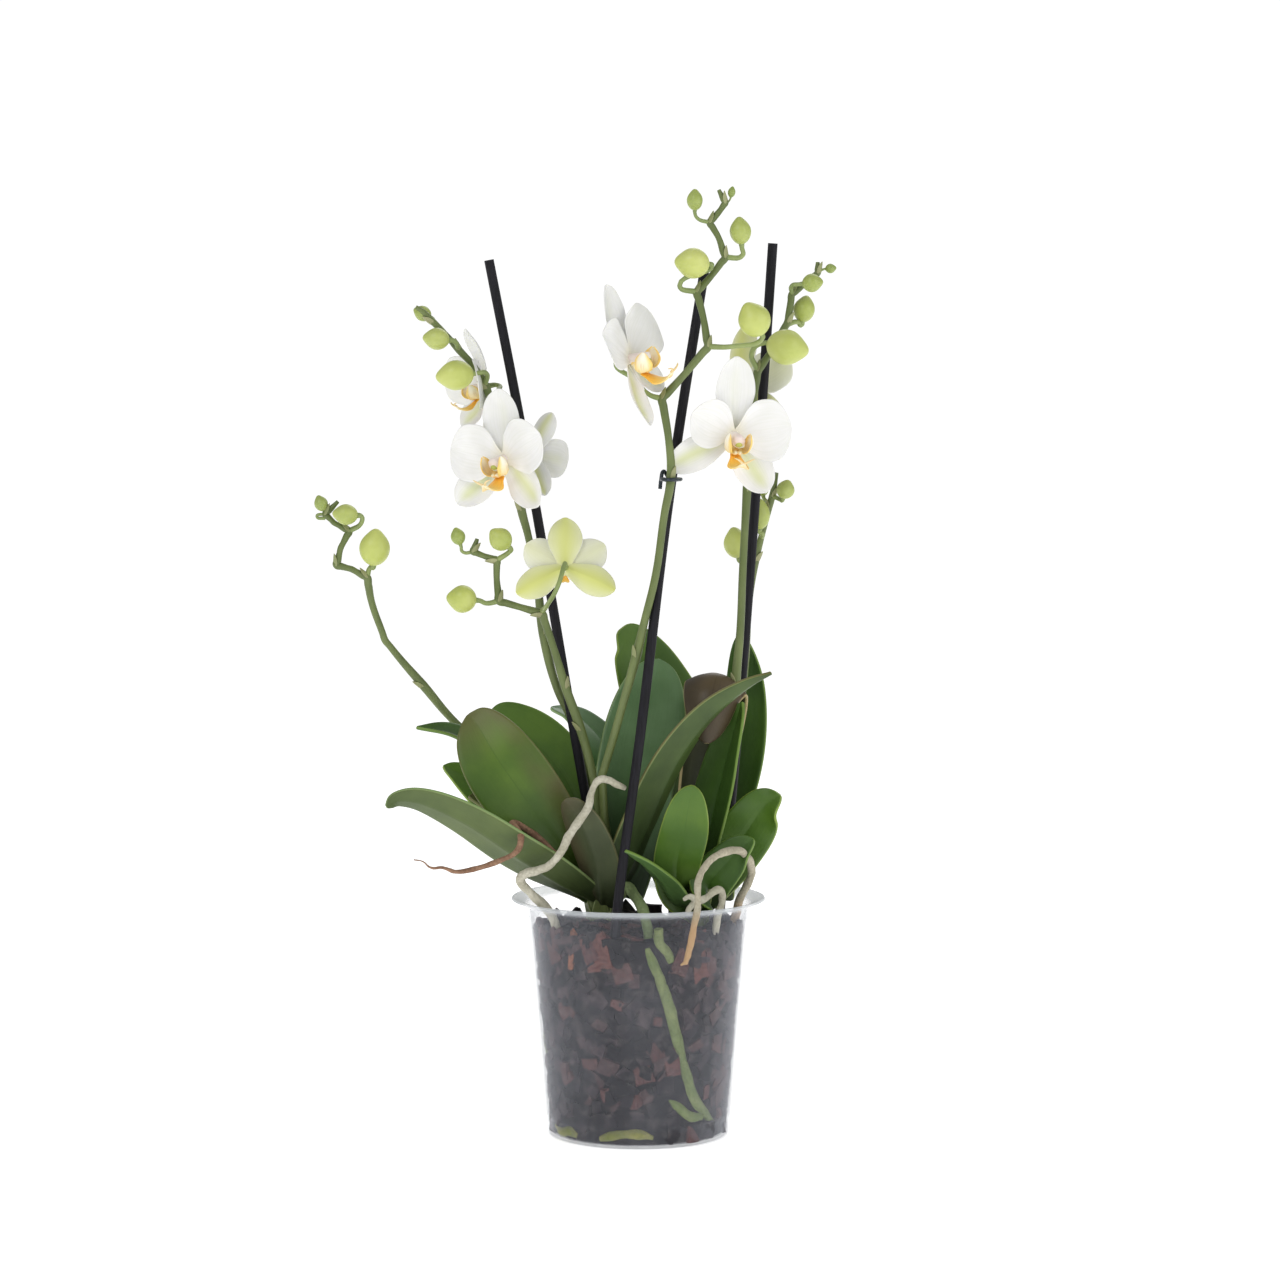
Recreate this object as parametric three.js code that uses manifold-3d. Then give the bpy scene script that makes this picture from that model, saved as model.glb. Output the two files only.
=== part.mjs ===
// A potted moth orchid: two small plants with six flower spikes and three canes, in a clear pot of bark.
// Millimetres, +Z up. The origin is the centre of the pot's underside.
import * as THREE from "three";
import { mergeVertices } from "three/addons/utils/BufferGeometryUtils.js";
import Module from "manifold-3d";

const wasm = await Module();
wasm.setup();

// Driving dimensions of the pot
const potHeight = 113;
const rimRadius = 60;
const rimThickness = 1.2;
const lipReach = 7.4; // how far the lip stands out past the top of the wall
const lipHeight = 7.5;
const baseRadius = 42.8;
const baseCorner = 1.8;
const stepHeight = 8.5; // the stacking step above the base
const stepDepth = 0.9;
const wallThickness = 0.9;
const floorThickness = 1.3;
const drainHoleRadius = 3.5;
const drainHoleRing = 28;
const drainHoleCount = 8;
const latheSides = 32;

// Driving dimensions of the filling, the canes and the plants
const headspace = 11; // from the rim down to the bark
const barkMound = 2;
const fitGap = 0.35; // clearance between pieces that touch
const haloGap = 0.6; // how much larger a neighbour's cut is made
const simplifyTo = 0.04; // slivers finer than this are left out of a cut piece
const caneRadius = 2.3;
const caneHeight = 311; // the left cane's top above the bark
const clipWire = 0.9;
const crownRadius = 5.5;
const stemRadius = 2.4;
const stalkRadius = 1.25;
const leafThickness = 2.2;
const tepalThickness = 1.1;
const rootRadius = 2.4;
const plantHeight = 342; // the top bud above the bark
const designPlantHeight = 342; // the height that the plants' points below are drawn at

// Sizes that follow from them
const barkTop = potHeight - headspace;
const wallTopRadius = rimRadius - lipReach - rimThickness * 0.6;
const wallTopHeight = potHeight - lipHeight;
const designWallRadius = 51.9;
const designBaseRadius = 42.8;
const plantScale = plantHeight / designPlantHeight;
const potScale = wallTopRadius / designWallRadius;
const footScale = baseRadius / designBaseRadius;
const blendHeight = 60; // below this height the plants' spread follows the pot

const colours = {
  clearPlastic: 0xdfe6e4,
  bark: 0x4a3b38,
  cane: 0x2c2833,
  clip: 0x1f2b33,
  stem: 0x6f7f45,
  leaf: 0x4f6a2c,
  brownLeaf: 0x6b5a4a,
  tepal: 0xf3f1e8,
  greenTepal: 0xe4e6a8,
  lip: 0xf0b03a,
  silverRoot: 0xb9b5a3,
  driedRoot: 0xa37f63,
  greenRoot: 0x7f9350,
};

const orchid = new THREE.Group();
const finished = []; // each piece's slightly enlarged solid, which later pieces are cut by

// ---- Solids and meshes -------------------------------------------------------------------------

function solidOf(geometry) {
  const bare = geometry.clone();
  bare.deleteAttribute("normal");
  bare.deleteAttribute("uv");
  const merged = mergeVertices(bare, 1e-4);
  return new wasm.Manifold(
    new wasm.Mesh({
      numProp: 3,
      vertProperties: new Float32Array(merged.attributes.position.array),
      triVerts: new Uint32Array(merged.index.array),
    }),
  );
}

function geometryOf(solid) {
  const mesh = solid.getMesh();
  const geometry = new THREE.BufferGeometry();
  geometry.setAttribute("position", new THREE.BufferAttribute(new Float32Array(mesh.vertProperties), 3));
  geometry.setIndex(new THREE.BufferAttribute(new Uint32Array(mesh.triVerts), 1));
  geometry.computeVertexNormals();
  return geometry;
}

function largestBody(solid) {
  const bodies = solid.decompose();
  bodies.sort((a, b) => b.volume() - a.volume());
  return bodies[0];
}

function boxesMeet(a, b) {
  return [0, 1, 2].every((k) => a.min[k] < b.max[k] && b.min[k] < a.max[k]);
}

// Adds a piece, cut clear of every piece before it, and keeps its enlarged form for the pieces after it.
function addPiece(name, colour, solid, enlarged, roughness = 0.6) {
  let body = solid;
  for (const earlier of finished) {
    if (boxesMeet(body.boundingBox(), earlier.boundingBox())) body = body.subtract(earlier);
  }
  const material = new THREE.MeshStandardMaterial({ color: colour, roughness, metalness: 0 });
  const mesh = new THREE.Mesh(geometryOf(largestBody(largestBody(body).simplify(simplifyTo))), material);
  mesh.name = name;
  orchid.add(mesh);
  finished.push(enlarged);
  return mesh;
}

// ---- Places ------------------------------------------------------------------------------------

// The inside radius of the pot's wall at a height above its underside.
function wallInside(height) {
  const share = (height - stepHeight) / (wallTopHeight - stepHeight);
  const outside = height < stepHeight ? baseRadius : THREE.MathUtils.lerp(baseRadius + stepDepth,
    wallTopRadius, share);
  return outside - wallThickness;
}

// A point of the plants: x and y from the pot's axis, z above the bark.
function plantPoint([x, y, z]) {
  const share = THREE.MathUtils.clamp(z / blendHeight, 0, 1);
  const spread = THREE.MathUtils.lerp(potScale, plantScale, share);
  return new THREE.Vector3(x * spread, y * spread, barkTop + z * plantScale);
}

// A point against the inside of the wall: degrees round from the front, and a share of the bark's depth.
function wallPoint(degrees, depth, radius) {
  const height = THREE.MathUtils.lerp(barkTop, floorThickness + fitGap + radius, depth);
  const inside = Math.min(wallInside(height - radius), wallInside(height + radius));
  const reach = inside * Math.cos(Math.PI / latheSides) - radius - fitGap;
  const angle = THREE.MathUtils.degToRad(degrees);
  return new THREE.Vector3(reach * Math.sin(angle), -reach * Math.cos(angle), height);
}

// A point outside the rim: degrees round from the front, a clearance, and a height above the rim.
function outsidePoint(degrees, clearance, above) {
  const reach = rimRadius + clearance;
  const angle = THREE.MathUtils.degToRad(degrees);
  return new THREE.Vector3(reach * Math.sin(angle), -reach * Math.cos(angle), potHeight + above);
}

// ---- Swept shapes ------------------------------------------------------------------------------

// Bends a closed cylinder along a line. size(t) gives the half width, half thickness and fold there.
function sweep(sides, steps, size, frameAt, grow) {
  const geometry = new THREE.CylinderGeometry(1, 1, 1, sides, steps);
  const position = geometry.attributes.position;
  const vertex = new THREE.Vector3();
  for (let i = 0; i < position.count; i += 1) {
    vertex.fromBufferAttribute(position, i);
    const t = THREE.MathUtils.clamp(vertex.y + 0.5, 0, 1);
    const { centre, across, along, out } = frameAt(t);
    const { width, thickness, fold } = size(t);
    const place = centre.clone();
    place.addScaledVector(across, vertex.x * (width + grow));
    place.addScaledVector(out, vertex.z * (thickness + grow) + Math.abs(vertex.x) * width * fold);
    if (t === 0) place.addScaledVector(along, -grow);
    if (t === 1) place.addScaledVector(along, grow);
    position.setXYZ(i, place.x, place.y, place.z);
  }
  return solidOf(geometry);
}

// A round stem or root along points, from one radius to another, with a ring at every point.
function tube(points, startRadius, endRadius, grow = 0, sides = 6) {
  const curve = new THREE.CatmullRomCurve3(points, false, "centripetal");
  const steps = points.length - 1;
  const rings = [];
  let out = new THREE.Vector3(0.3, -0.9, 0.2);
  for (let i = 0; i <= steps; i += 1) {
    const along = curve.getTangent(i / steps);
    out = out.clone().addScaledVector(along, -out.dot(along)).normalize();
    rings.push({ centre: points[i], across: new THREE.Vector3().crossVectors(along, out), along, out });
  }
  const size = (t) => {
    const radius = THREE.MathUtils.lerp(startRadius, endRadius, t);
    return { width: radius, thickness: radius, fold: 0 };
  };
  return sweep(sides, steps, size, (t) => rings[Math.round(t * steps)], grow);
}

// The outline of a leaf or petal: its share of the full width at t, from stalk to tip.
function bladeWidth(t, stalk, peak) {
  if (t < peak) return stalk + (1 - stalk) * Math.sin((Math.PI / 2) * (t / peak));
  const past = (t - peak) / (1 - peak);
  return Math.sqrt(1 - 0.96 * past * past);
}

// A thin blade along points. facing is the way that its upper side looks; across is used instead if given.
function blade(points, shape, grow = 0) {
  const { width, thickness, stalk = 0.4, peak = 0.55, fold = 0.25, facing, across: given,
    steps = 9 } = shape;
  const curve = new THREE.CatmullRomCurve3(points, false, "centripetal");
  const size = (t) => ({
    width: (width / 2) * bladeWidth(t, stalk, peak),
    thickness: (thickness / 2) * (1 - 0.35 * t),
    fold,
  });
  const frameAt = (ring) => {
    const t = 1 - Math.pow(1 - ring, 1.35); // rings lie closer together at the tip
    const along = curve.getTangentAt(t);
    const across = given ? given.clone() : new THREE.Vector3().crossVectors(along, facing);
    across.addScaledVector(along, -across.dot(along)).normalize();
    const out = new THREE.Vector3().crossVectors(across, along);
    return { centre: curve.getPointAt(t), across, along, out };
  };
  return sweep(6, steps, (ring) => size(1 - Math.pow(1 - ring, 1.35)), frameAt, grow);
}

// An egg-shaped bud round a centre, its long axis toward its tip.
function bud(centre, toward, length, width, grow = 0) {
  const geometry = new THREE.SphereGeometry(1, 8, 5);
  geometry.rotateX(Math.PI / 2);
  geometry.scale(width / 2 + grow, width / 2 + grow, length / 2 + grow);
  const turn = new THREE.Quaternion();
  turn.setFromUnitVectors(new THREE.Vector3(0, 0, 1), new THREE.Vector3(...toward).normalize());
  geometry.applyQuaternion(turn);
  geometry.translate(centre.x, centre.y, centre.z);
  return solidOf(geometry);
}

// ---- The pot -----------------------------------------------------------------------------------

function pot() {
  const wallTop = new THREE.Vector2(wallTopRadius, wallTopHeight);
  const lipEdge = new THREE.Vector2(rimRadius, potHeight - rimThickness);
  const lipMiddle = new THREE.Vector2(wallTopRadius + lipReach * 0.5, potHeight - lipHeight * 0.42);
  const inward = rimThickness;
  const profile = [
    new THREE.Vector2(0, 0),
    new THREE.Vector2(baseRadius - baseCorner, 0),
    new THREE.Vector2(baseRadius - baseCorner * 0.3, baseCorner * 0.3),
    new THREE.Vector2(baseRadius, baseCorner),
    new THREE.Vector2(baseRadius, stepHeight),
    new THREE.Vector2(baseRadius + stepDepth, stepHeight + stepDepth),
    wallTop,
    lipMiddle,
    lipEdge,
    new THREE.Vector2(rimRadius, potHeight),
    new THREE.Vector2(rimRadius - inward, potHeight),
    new THREE.Vector2(lipMiddle.x - inward * 0.6, lipMiddle.y + inward * 0.8),
    new THREE.Vector2(wallTop.x - wallThickness, wallTop.y + inward * 0.4),
    new THREE.Vector2(baseRadius + stepDepth - wallThickness, stepHeight + stepDepth * 1.4),
    new THREE.Vector2(baseRadius - wallThickness, stepHeight + stepDepth * 0.4),
    new THREE.Vector2(baseRadius - wallThickness, baseCorner + wallThickness),
    new THREE.Vector2(baseRadius - baseCorner - wallThickness * 0.5, floorThickness),
    new THREE.Vector2(0, floorThickness),
  ];
  const shell = new THREE.LatheGeometry(profile, latheSides);
  shell.rotateX(Math.PI / 2);
  let body = solidOf(shell);
  for (let i = 0; i < drainHoleCount; i += 1) {
    const angle = (i / drainHoleCount) * 2 * Math.PI;
    const hole = new THREE.CylinderGeometry(drainHoleRadius, drainHoleRadius, 4 * floorThickness, 8);
    hole.rotateX(Math.PI / 2);
    hole.translate(drainHoleRing * Math.cos(angle), drainHoleRing * Math.sin(angle), floorThickness / 2);
    body = body.subtract(solidOf(hole));
  }
  return body;
}

function addPot() {
  const mesh = new THREE.Mesh(
    geometryOf(pot()),
    new THREE.MeshStandardMaterial({
      color: colours.clearPlastic,
      roughness: 0.25,
      metalness: 0,
      transparent: true,
      opacity: 0.3,
    }),
  );
  mesh.name = "pot";
  orchid.add(mesh);
}

// The bark fills the pot to its headspace. It is cut by all that is planted in it.
function bark() {
  const foot = floorThickness + fitGap;
  const steps = 3;
  const profile = [new THREE.Vector2(0, foot)];
  profile.push(new THREE.Vector2(baseRadius - baseCorner - wallThickness - 2 * fitGap, foot));
  profile.push(new THREE.Vector2(wallInside(0) - fitGap, foot + baseCorner + wallThickness / 2));
  for (let i = 0; i <= steps; i += 1) {
    const height = THREE.MathUtils.lerp(stepHeight + 2 * stepDepth, barkTop - barkMound, i / steps);
    profile.push(new THREE.Vector2(wallInside(height) - fitGap, height));
  }
  profile.splice(3, 0, new THREE.Vector2(wallInside(0) - fitGap, stepHeight));
  profile.push(new THREE.Vector2(wallInside(barkTop) * 0.6, barkTop));
  profile.push(new THREE.Vector2(0, barkTop + barkMound * 0.5));
  const heap = new THREE.LatheGeometry(profile, latheSides);
  heap.rotateX(Math.PI / 2);
  return solidOf(heap);
}

// ---- Canes and clips ---------------------------------------------------------------------------

// Each cane is a list of points above the bark; its foot goes down to the pot's floor.
const canes = {
  left: { points: [[-13, 12, -9], [-25.5, 8, 60], [-54, 2.4, 227], [-70, 0, caneHeight]], foot: [2, 15] },
  middle: { points: [[-10.5, -43, 0], [-9.5, -43, 12], [0.7, -38, 89], [15.5, -30, 209], [31.2, -22, 309]],
    foot: [-25, -27] },
  right: { points: [[38.5, 16, -4], [46, 12, 75], [56, 8, 208], [63.2, 5, 319]], foot: [30.5, 20] },
};

function canePoints(side) {
  const { points, foot } = canes[side];
  const bottom = new THREE.Vector3(foot[0] * footScale, foot[1] * footScale, floorThickness + fitGap + 3);
  return [bottom, ...points.map(plantPoint)];
}

function addCanes() {
  for (const side of Object.keys(canes)) {
    const points = canePoints(side);
    const cane = tube(points, caneRadius, caneRadius, 0, 8);
    addPiece(`support_cane_${side}`, colours.cane, cane, tube(points, caneRadius, caneRadius, haloGap, 8));
  }
}

// A sprung wire clip that goes round a cane and a stem at one height above the bark.
function clip(cane, stem, handle, grow = 0) {
  const middle = cane.clone().add(stem).multiplyScalar(0.5);
  const apart = stem.clone().sub(cane);
  apart.z = 0;
  const caneRoom = caneRadius + 2 * haloGap + clipWire;
  const stemRoom = stemRadius + 2 * haloGap + clipWire;
  const first = apart.clone().normalize();
  const second = new THREE.Vector3(-first.y, first.x, 0);
  const points = [];
  for (let i = 0; i <= 10; i += 1) {
    const angle = THREE.MathUtils.degToRad(-150 + 30 * i);
    const room = THREE.MathUtils.lerp(caneRoom, stemRoom, (1 + Math.cos(angle)) / 2);
    const point = middle.clone();
    point.addScaledVector(first, (apart.length() / 2 + room) * Math.cos(angle));
    point.addScaledVector(second, room * Math.sin(angle));
    points.push(point);
  }
  if (handle) points.unshift(...handle.map((offset) => points[0].clone().add(new THREE.Vector3(...offset))));
  return tube(points, clipWire, clipWire, grow, 5);
}

// ---- Where the flowers are ---------------------------------------------------------------------

// Each flower's place, the way it looks, its dorsal direction and its size against a full flower.
const ovaryReach = 3.2; // how far the ovary stands out behind the petals
const flowers = [
  { name: "side", at: [-73, 10, 252], facing: [-0.95, -0.25, -0.1], up: [0.15, 0, 1], size: 0.9 },
  { name: "left", at: [-63, -20, 218], facing: [-0.55, -0.82, -0.1], up: [-0.05, 0, 1], size: 1 },
  { name: "back_left", at: [-48, 17, 221], facing: [0.6, 0.78, -0.1], up: [0.25, 0, 1], size: 0.9 },
  { name: "turned_away", at: [-34, -27, 168], facing: [0, 0.93, -0.3], up: [0, 0.2, 1], size: 0.85 },
  { name: "top", at: [-1, -43, 265], facing: [0.62, -0.75, -0.15], up: [-0.55, -0.1, 0.85], size: 1 },
  { name: "right", at: [44, -27, 229], facing: [0.25, -0.95, -0.1], up: [0.05, 0, 1], size: 1 },
  { name: "back_right", at: [50, 18, 251], facing: [0.25, 0.95, -0.1], up: [-0.2, 0, 1], size: 0.95 },
];

// Points of a flower's own frame: x to its side, y toward the dorsal sepal, z out of its face.
function flowerFrame({ at, facing, up, size }) {
  const out = new THREE.Vector3(...facing).normalize();
  const side = new THREE.Vector3().crossVectors(new THREE.Vector3(...up), out).normalize();
  const top = new THREE.Vector3().crossVectors(out, side);
  const frame = new THREE.Matrix4().makeBasis(side, top, out);
  frame.scale(new THREE.Vector3(size, size, size));
  frame.setPosition(plantPoint(at));
  return { place: (point) => new THREE.Vector3(...point).applyMatrix4(frame), side, top, out };
}

// ---- Crowns and spikes -------------------------------------------------------------------------

const crowns = {
  left: [[-19, -2, -18], [-18, 0, 4], [-17, 2, 17]],
  right: [[27, 1, -18], [27, 1, 4], [27, 0, 17]],
};

function addCrowns() {
  for (const side of Object.keys(crowns)) {
    const points = crowns[side].map(plantPoint);
    const crown = tube(points, crownRadius, crownRadius * 0.8);
    const enlarged = tube(points, crownRadius, crownRadius * 0.8, haloGap);
    addPiece(`crown_${side}`, colours.stem, crown, enlarged);
  }
}

// A spike is its stem, the stalks that carry its flowers, and its buds. A flower's stalk ends at its ovary.
// Each
// bud has its stalk's route from the stem, its own centre, the way its tip points, its length and its
// width.
const spikes = [
  {
    name: "flower_spike_far_left",
    stem: [[-20, 2, 10], [-33, 11, 37], [-53, 18, 60], [-73, 18, 79], [-89, 16, 94], [-102, 12, 110],
      [-113, 10, 123], [-120, 8, 132], [-126, 5, 150], [-128, 2, 162], [-135, 0, 166], [-142, -1, 168],
      [-140, -2, 176], [-136, -2, 184], [-143, -3, 188], [-147, -3, 192], [-141, -3, 198]],
    carries: {},
    buds: [
      { stalk: [[-128, 2, 162], [-126, 1, 167]], centre: [-124, -2, 176], toward: [0.1, -0.2, 1],
        size: [17, 14] },
      { stalk: [[-136, -2, 184], [-130, -5, 188]], centre: [-137, -8, 192], toward: [-1, -0.2, 0.1],
        size: [11.5, 9.5] },
      { stalk: [[-147, -3, 190], [-151, -3, 191]], centre: [-149, -3, 197], toward: [-0.4, 0, 1],
        size: [7.5, 6.2] },
    ],
  },
  {
    name: "flower_spike_left",
    stem: [[-17, 5, 12], [-22, 14, 56], [-32, 13, 94], [-39, 11, 110], [-45, 9, 135], [-48, 6, 161],
      [-52, 2, 182], [-55, -1, 194], [-57, -3, 207], [-63, -5, 227], [-69, -5, 244], [-71, -5, 251],
      [-76, -5, 260], [-84, -5, 269], [-90, -5, 276], [-96, -5, 282], [-101, -5, 287], [-104, -5, 289]],
    carries: { side: [[-70, -5, 246], [-66, 3, 250]], left: [[-59, -4, 213], [-55, -9, 217]],
      back_left: [[-56, -3, 200], [-53, 5, 206], [-54, 8, 214]] },
    buds: [
      { stalk: [[-72, -5, 252], [-71, -10, 258]], centre: [-85, -14, 257], toward: [-1, -0.1, -0.1],
        size: [17, 13.5] },
      { stalk: [[-84, -5, 269], [-86, -9, 273]], centre: [-94, -10, 274], toward: [-1, -0.1, 0.1],
        size: [12, 10] },
      { stalk: [[-96, -5, 282]], centre: [-101, -2, 286], toward: [-1, 0, 0.5], size: [8.5, 7] },
    ],
  },
  {
    name: "flower_spike_front_left",
    stem: [[-18, -4, 11], [-18.5, -7, 28], [-18, -7, 43], [-21, -8, 67], [-27, -10, 91], [-34, -13, 111],
      [-40, -15, 131],
      [-45, -16, 146], [-55, -17, 149], [-65, -18, 152], [-66, -18, 162], [-66, -18, 171], [-72, -18, 173],
      [-77, -18, 175], [-75, -18, 181]],
    carries: { turned_away: [[-45, -16, 147], [-42, -30, 151], [-37, -39, 160]] },
    buds: [
      { stalk: [[-65, -18, 152], [-71, -19, 151]], centre: [-82, -20, 153], toward: [-1, -0.1, 0.1],
        size: [13.5, 12.6] },
      { stalk: [[-66, -18, 171], [-60, -21, 175]], centre: [-64, -24, 181], toward: [-0.5, -0.2, 0.5],
        size: [11.5, 10.3] },
      { stalk: [[-76, -18, 175], [-82, -18, 175]], centre: [-84, -18, 182], toward: [-0.3, 0, 1],
        size: [8, 6.6] },
    ],
  },
  {
    name: "flower_spike_centre",
    stem: [[-12, -3, 10], [-11, -12, 28], [-15, -16, 44], [-17, -20, 70], [-12, -24, 87], [-7, -28, 105],
      [-1, -33, 127],
      [3, -36, 144], [8, -38.5, 165], [12, -39, 193], [15, -39, 210], [14, -39, 227], [11, -38, 246],
      [21, -37, 257], [32, -35, 270], [30, -33, 283], [27, -32, 295], [34, -31, 303], [40, -30, 311],
      [37, -30, 320], [33, -30, 327], [38, -30, 333], [40, -30, 336], [37, -30, 342]],
    carries: { top: [[11, -38, 246], [5, -38, 248], [-2, -37, 255]] },
    buds: [
      { stalk: [[27, -32, 295], [19, -36, 298]], centre: [25, -40, 308], toward: [-1, -0.2, 0.1],
        size: [15.5, 13.6] },
      { stalk: [[40, -30, 311], [48, -30, 312]], centre: [47, -30, 323], toward: [-0.1, -0.1, 1],
        size: [12.2, 9.6] },
      { stalk: [[33, -30, 327], [27, -33, 329]], centre: [26, -34, 337], toward: [0, -0.1, 1],
        size: [9.4, 7.2] },
      { stalk: [[40, -30, 335]], centre: [43, -28, 341], toward: [0.2, 0, 1], size: [5, 3.4] },
      { stalk: [[32, -35, 270], [43, -40, 270]], centre: [53, -44, 282], toward: [-0.5, -0.3, 1],
        size: [16, 14.6] },
    ],
  },
  {
    name: "flower_spike_right",
    stem: [[30, 0, 11], [38, 4, 47], [46, 3, 85], [46, 0, 112], [48, -2, 137], [49, -4, 164], [50, -4, 185],
      [51, -3, 203], [52, -1, 227], [54, -2, 246], [56, -4, 259], [62, -3, 268], [70, -2, 282],
        [72, -2, 295],
      [77, -2, 299], [84, -2, 305], [84, -2, 310]],
    carries: { right: [[52, -1, 224], [48, -10, 229]], back_right: [[53, -2, 242], [51, 6, 248]] },
    buds: [
      { stalk: [[56, -4, 259], [53, -9, 268]], centre: [69, -14, 270], toward: [1, -0.1, -0.2],
        size: [19, 16] },
      { stalk: [[70, -2, 281], [75, 2, 282]], centre: [78, 4, 288], toward: [0.2, 0.1, 1],
        size: [12.2, 10] },
      { stalk: [[72, -2, 295], [72, -8, 299]], centre: [81, -10, 300], toward: [1, -0.1, 0.1],
        size: [9.4, 8.4] },
      { stalk: [[84, -2, 305]], centre: [90, -2, 307], toward: [1, 0, 0.1], size: [5, 4.4] },
    ],
  },
  {
    name: "flower_spike_back_right",
    stem: [[27, 5, 10], [33, 14, 28], [39, 20, 46], [47, 23, 84], [51, 25, 122], [53, 26, 150],
      [56, 27, 169], [59, 27, 181],
      [62, 27, 193], [64, 26, 200], [66, 24, 211]],
    carries: {},
    buds: [
      { stalk: [[56, 27, 168], [51, 29, 169]], centre: [47, 30, 177], toward: [-0.2, 0.1, 1],
        size: [14.6, 12] },
      { stalk: [[59, 27, 180], [59, 23, 182]], centre: [58, 22, 191], toward: [0, -0.1, 1],
        size: [14, 9.5] },
      { stalk: [[63, 27, 196]], centre: [59, 31, 204], toward: [-0.2, 0.3, 1], size: [9, 7.5] },
      { stalk: [[64, 26, 200], [68, 22, 198]], centre: [70, 20, 203], toward: [0.3, -0.2, 1],
        size: [9, 8.5] },
    ],
  },
];

function stalkEnd(flowerName) {
  const flower = flowers.find(({ name }) => name === flowerName);
  return flowerFrame(flower).place([0, 0, -ovaryReach - fitGap]);
}

function spike({ stem, carries, buds }, grow = 0) {
  let body = tube(stem.map(plantPoint), stemRadius, stemRadius * 0.6, grow);
  const routes = buds.map(({ stalk, centre }) => [...stalk, centre].map(plantPoint));
  for (const [flowerName, stalk] of Object.entries(carries)) {
    routes.push([...stalk.map(plantPoint), stalkEnd(flowerName)]);
  }
  for (const route of routes) body = body.add(tube(route, stalkRadius, stalkRadius, grow, 5));
  for (const { centre, toward, size } of buds) {
    body = body.add(bud(plantPoint(centre), toward, size[0], size[1], grow));
  }
  return body;
}

function addSpikes() {
  for (const each of spikes) addPiece(each.name, colours.stem, spike(each), spike(each, haloGap));
}

function pointAtHeight(points, height) {
  const i = Math.max(1, points.findIndex((point) => point.z > height));
  const share = (height - points[i - 1].z) / (points[i].z - points[i - 1].z);
  return points[i - 1].clone().lerp(points[i], share);
}

function addClips() {
  const pairs = [
    ["left", 1, 217],
    ["middle", 3, 209, [[-3.5, -5.5, -4.5], [-3, -5, 0], [-2, -3, 3.6], [-0.8, -1, 2.5]]],
    ["right", 4, 232],
  ];
  for (const [side, spikeIndex, above, handle] of pairs) {
    const height = barkTop + above * plantScale;
    const cane = pointAtHeight(canePoints(side), height);
    const stem = pointAtHeight(spikes[spikeIndex].stem.map(plantPoint), height);
    const body = clip(cane, stem, handle);
    addPiece(`stem_clip_${side}`, colours.clip, body, clip(cane, stem, handle, haloGap));
  }
}

// ---- Flowers -----------------------------------------------------------------------------------

// The five sepals and petals, one grown piece: dorsal, two petals, two lateral sepals.
function tepals(flower, grow = 0) {
  const { place, side, top, out } = flowerFrame(flower);
  const parts = [{ points: [[0, 0, 0], [0, 15, -0.5], [0, 30, 2.5]], width: 18, across: side.clone() }];
  for (const hand of [1, -1]) {
    const petalAcross = top.clone().multiplyScalar(-hand);
    const sepalAcross = side.clone().multiplyScalar(-0.8).addScaledVector(top, -0.6 * hand);
    parts.push({ points: [[0, 0, 0.6], [hand * 13, 3, 2.6], [hand * 26.5, 4.5, 6]], width: 29,
      across: petalAcross });
    parts.push({ points: [[0, 0, -0.6], [hand * 9, -12, -0.2], [hand * 17.5, -24, 2]], width: 17,
      across: sepalAcross });
  }
  let body;
  for (const { points, width, across } of parts) {
    const shape = {
      width: width * flower.size,
      thickness: tepalThickness,
      stalk: 0.3,
      peak: 0.55,
      fold: 0.12,
      steps: 3,
      across,
    };
    const part = blade(points.map(place), shape, grow);
    body = body ? body.add(part) : part;
  }
  const ovary = tube([[0, 0, 0.8], [0, 0, -ovaryReach]].map(place), 2.2 * flower.size, 1.6 * flower.size,
    grow);
  return body.add(ovary);
}

// The column with the three-lobed lip below it, one grown piece.
function lip(flower, grow = 0) {
  const { place, side, out } = flowerFrame(flower);
  const scaled = (value) => value * flower.size;
  let body = tube([[0, 0, 1.6], [0, -1.5, 7.5]].map(place), scaled(2.2), scaled(2.4), grow);
  body = body.add(tube([[0, -1, 2.6], [0, -5, 4], [0, -8.5, 7]].map(place), scaled(1.9), scaled(1.7), grow,
    5));
  const shape = { width: scaled(5.5), thickness: 1.3, stalk: 0.7, peak: 0.6, fold: 0.15, steps: 2,
    across: side };
  body = body.add(blade([[0, -7, 5], [0, -9.5, 10.5], [0, -8.5, 15.5]].map(place), shape, grow));
  for (const hand of [1, -1]) {
    const wing = {
      width: scaled(7),
      thickness: 1.1,
      stalk: 0.6,
      peak: 0.6,
      fold: 0,
      steps: 2,
      across: out.clone().multiplyScalar(hand),
    };
    body = body.add(blade([[hand, -5, 4.5], [hand * 4.5, -4, 6.5], [hand * 6.5, 0.5, 7.5]].map(place), wing,
      grow));
  }
  return body;
}

function addFlowers() {
  for (const flower of flowers) {
    addPiece(`flower_${flower.name}_lip`, colours.lip, lip(flower), lip(flower, haloGap));
    addPiece(`flower_${flower.name}_petals`, colours.tepal, tepals(flower), tepals(flower, haloGap));
  }
}

// ---- Roots -------------------------------------------------------------------------------------

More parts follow.
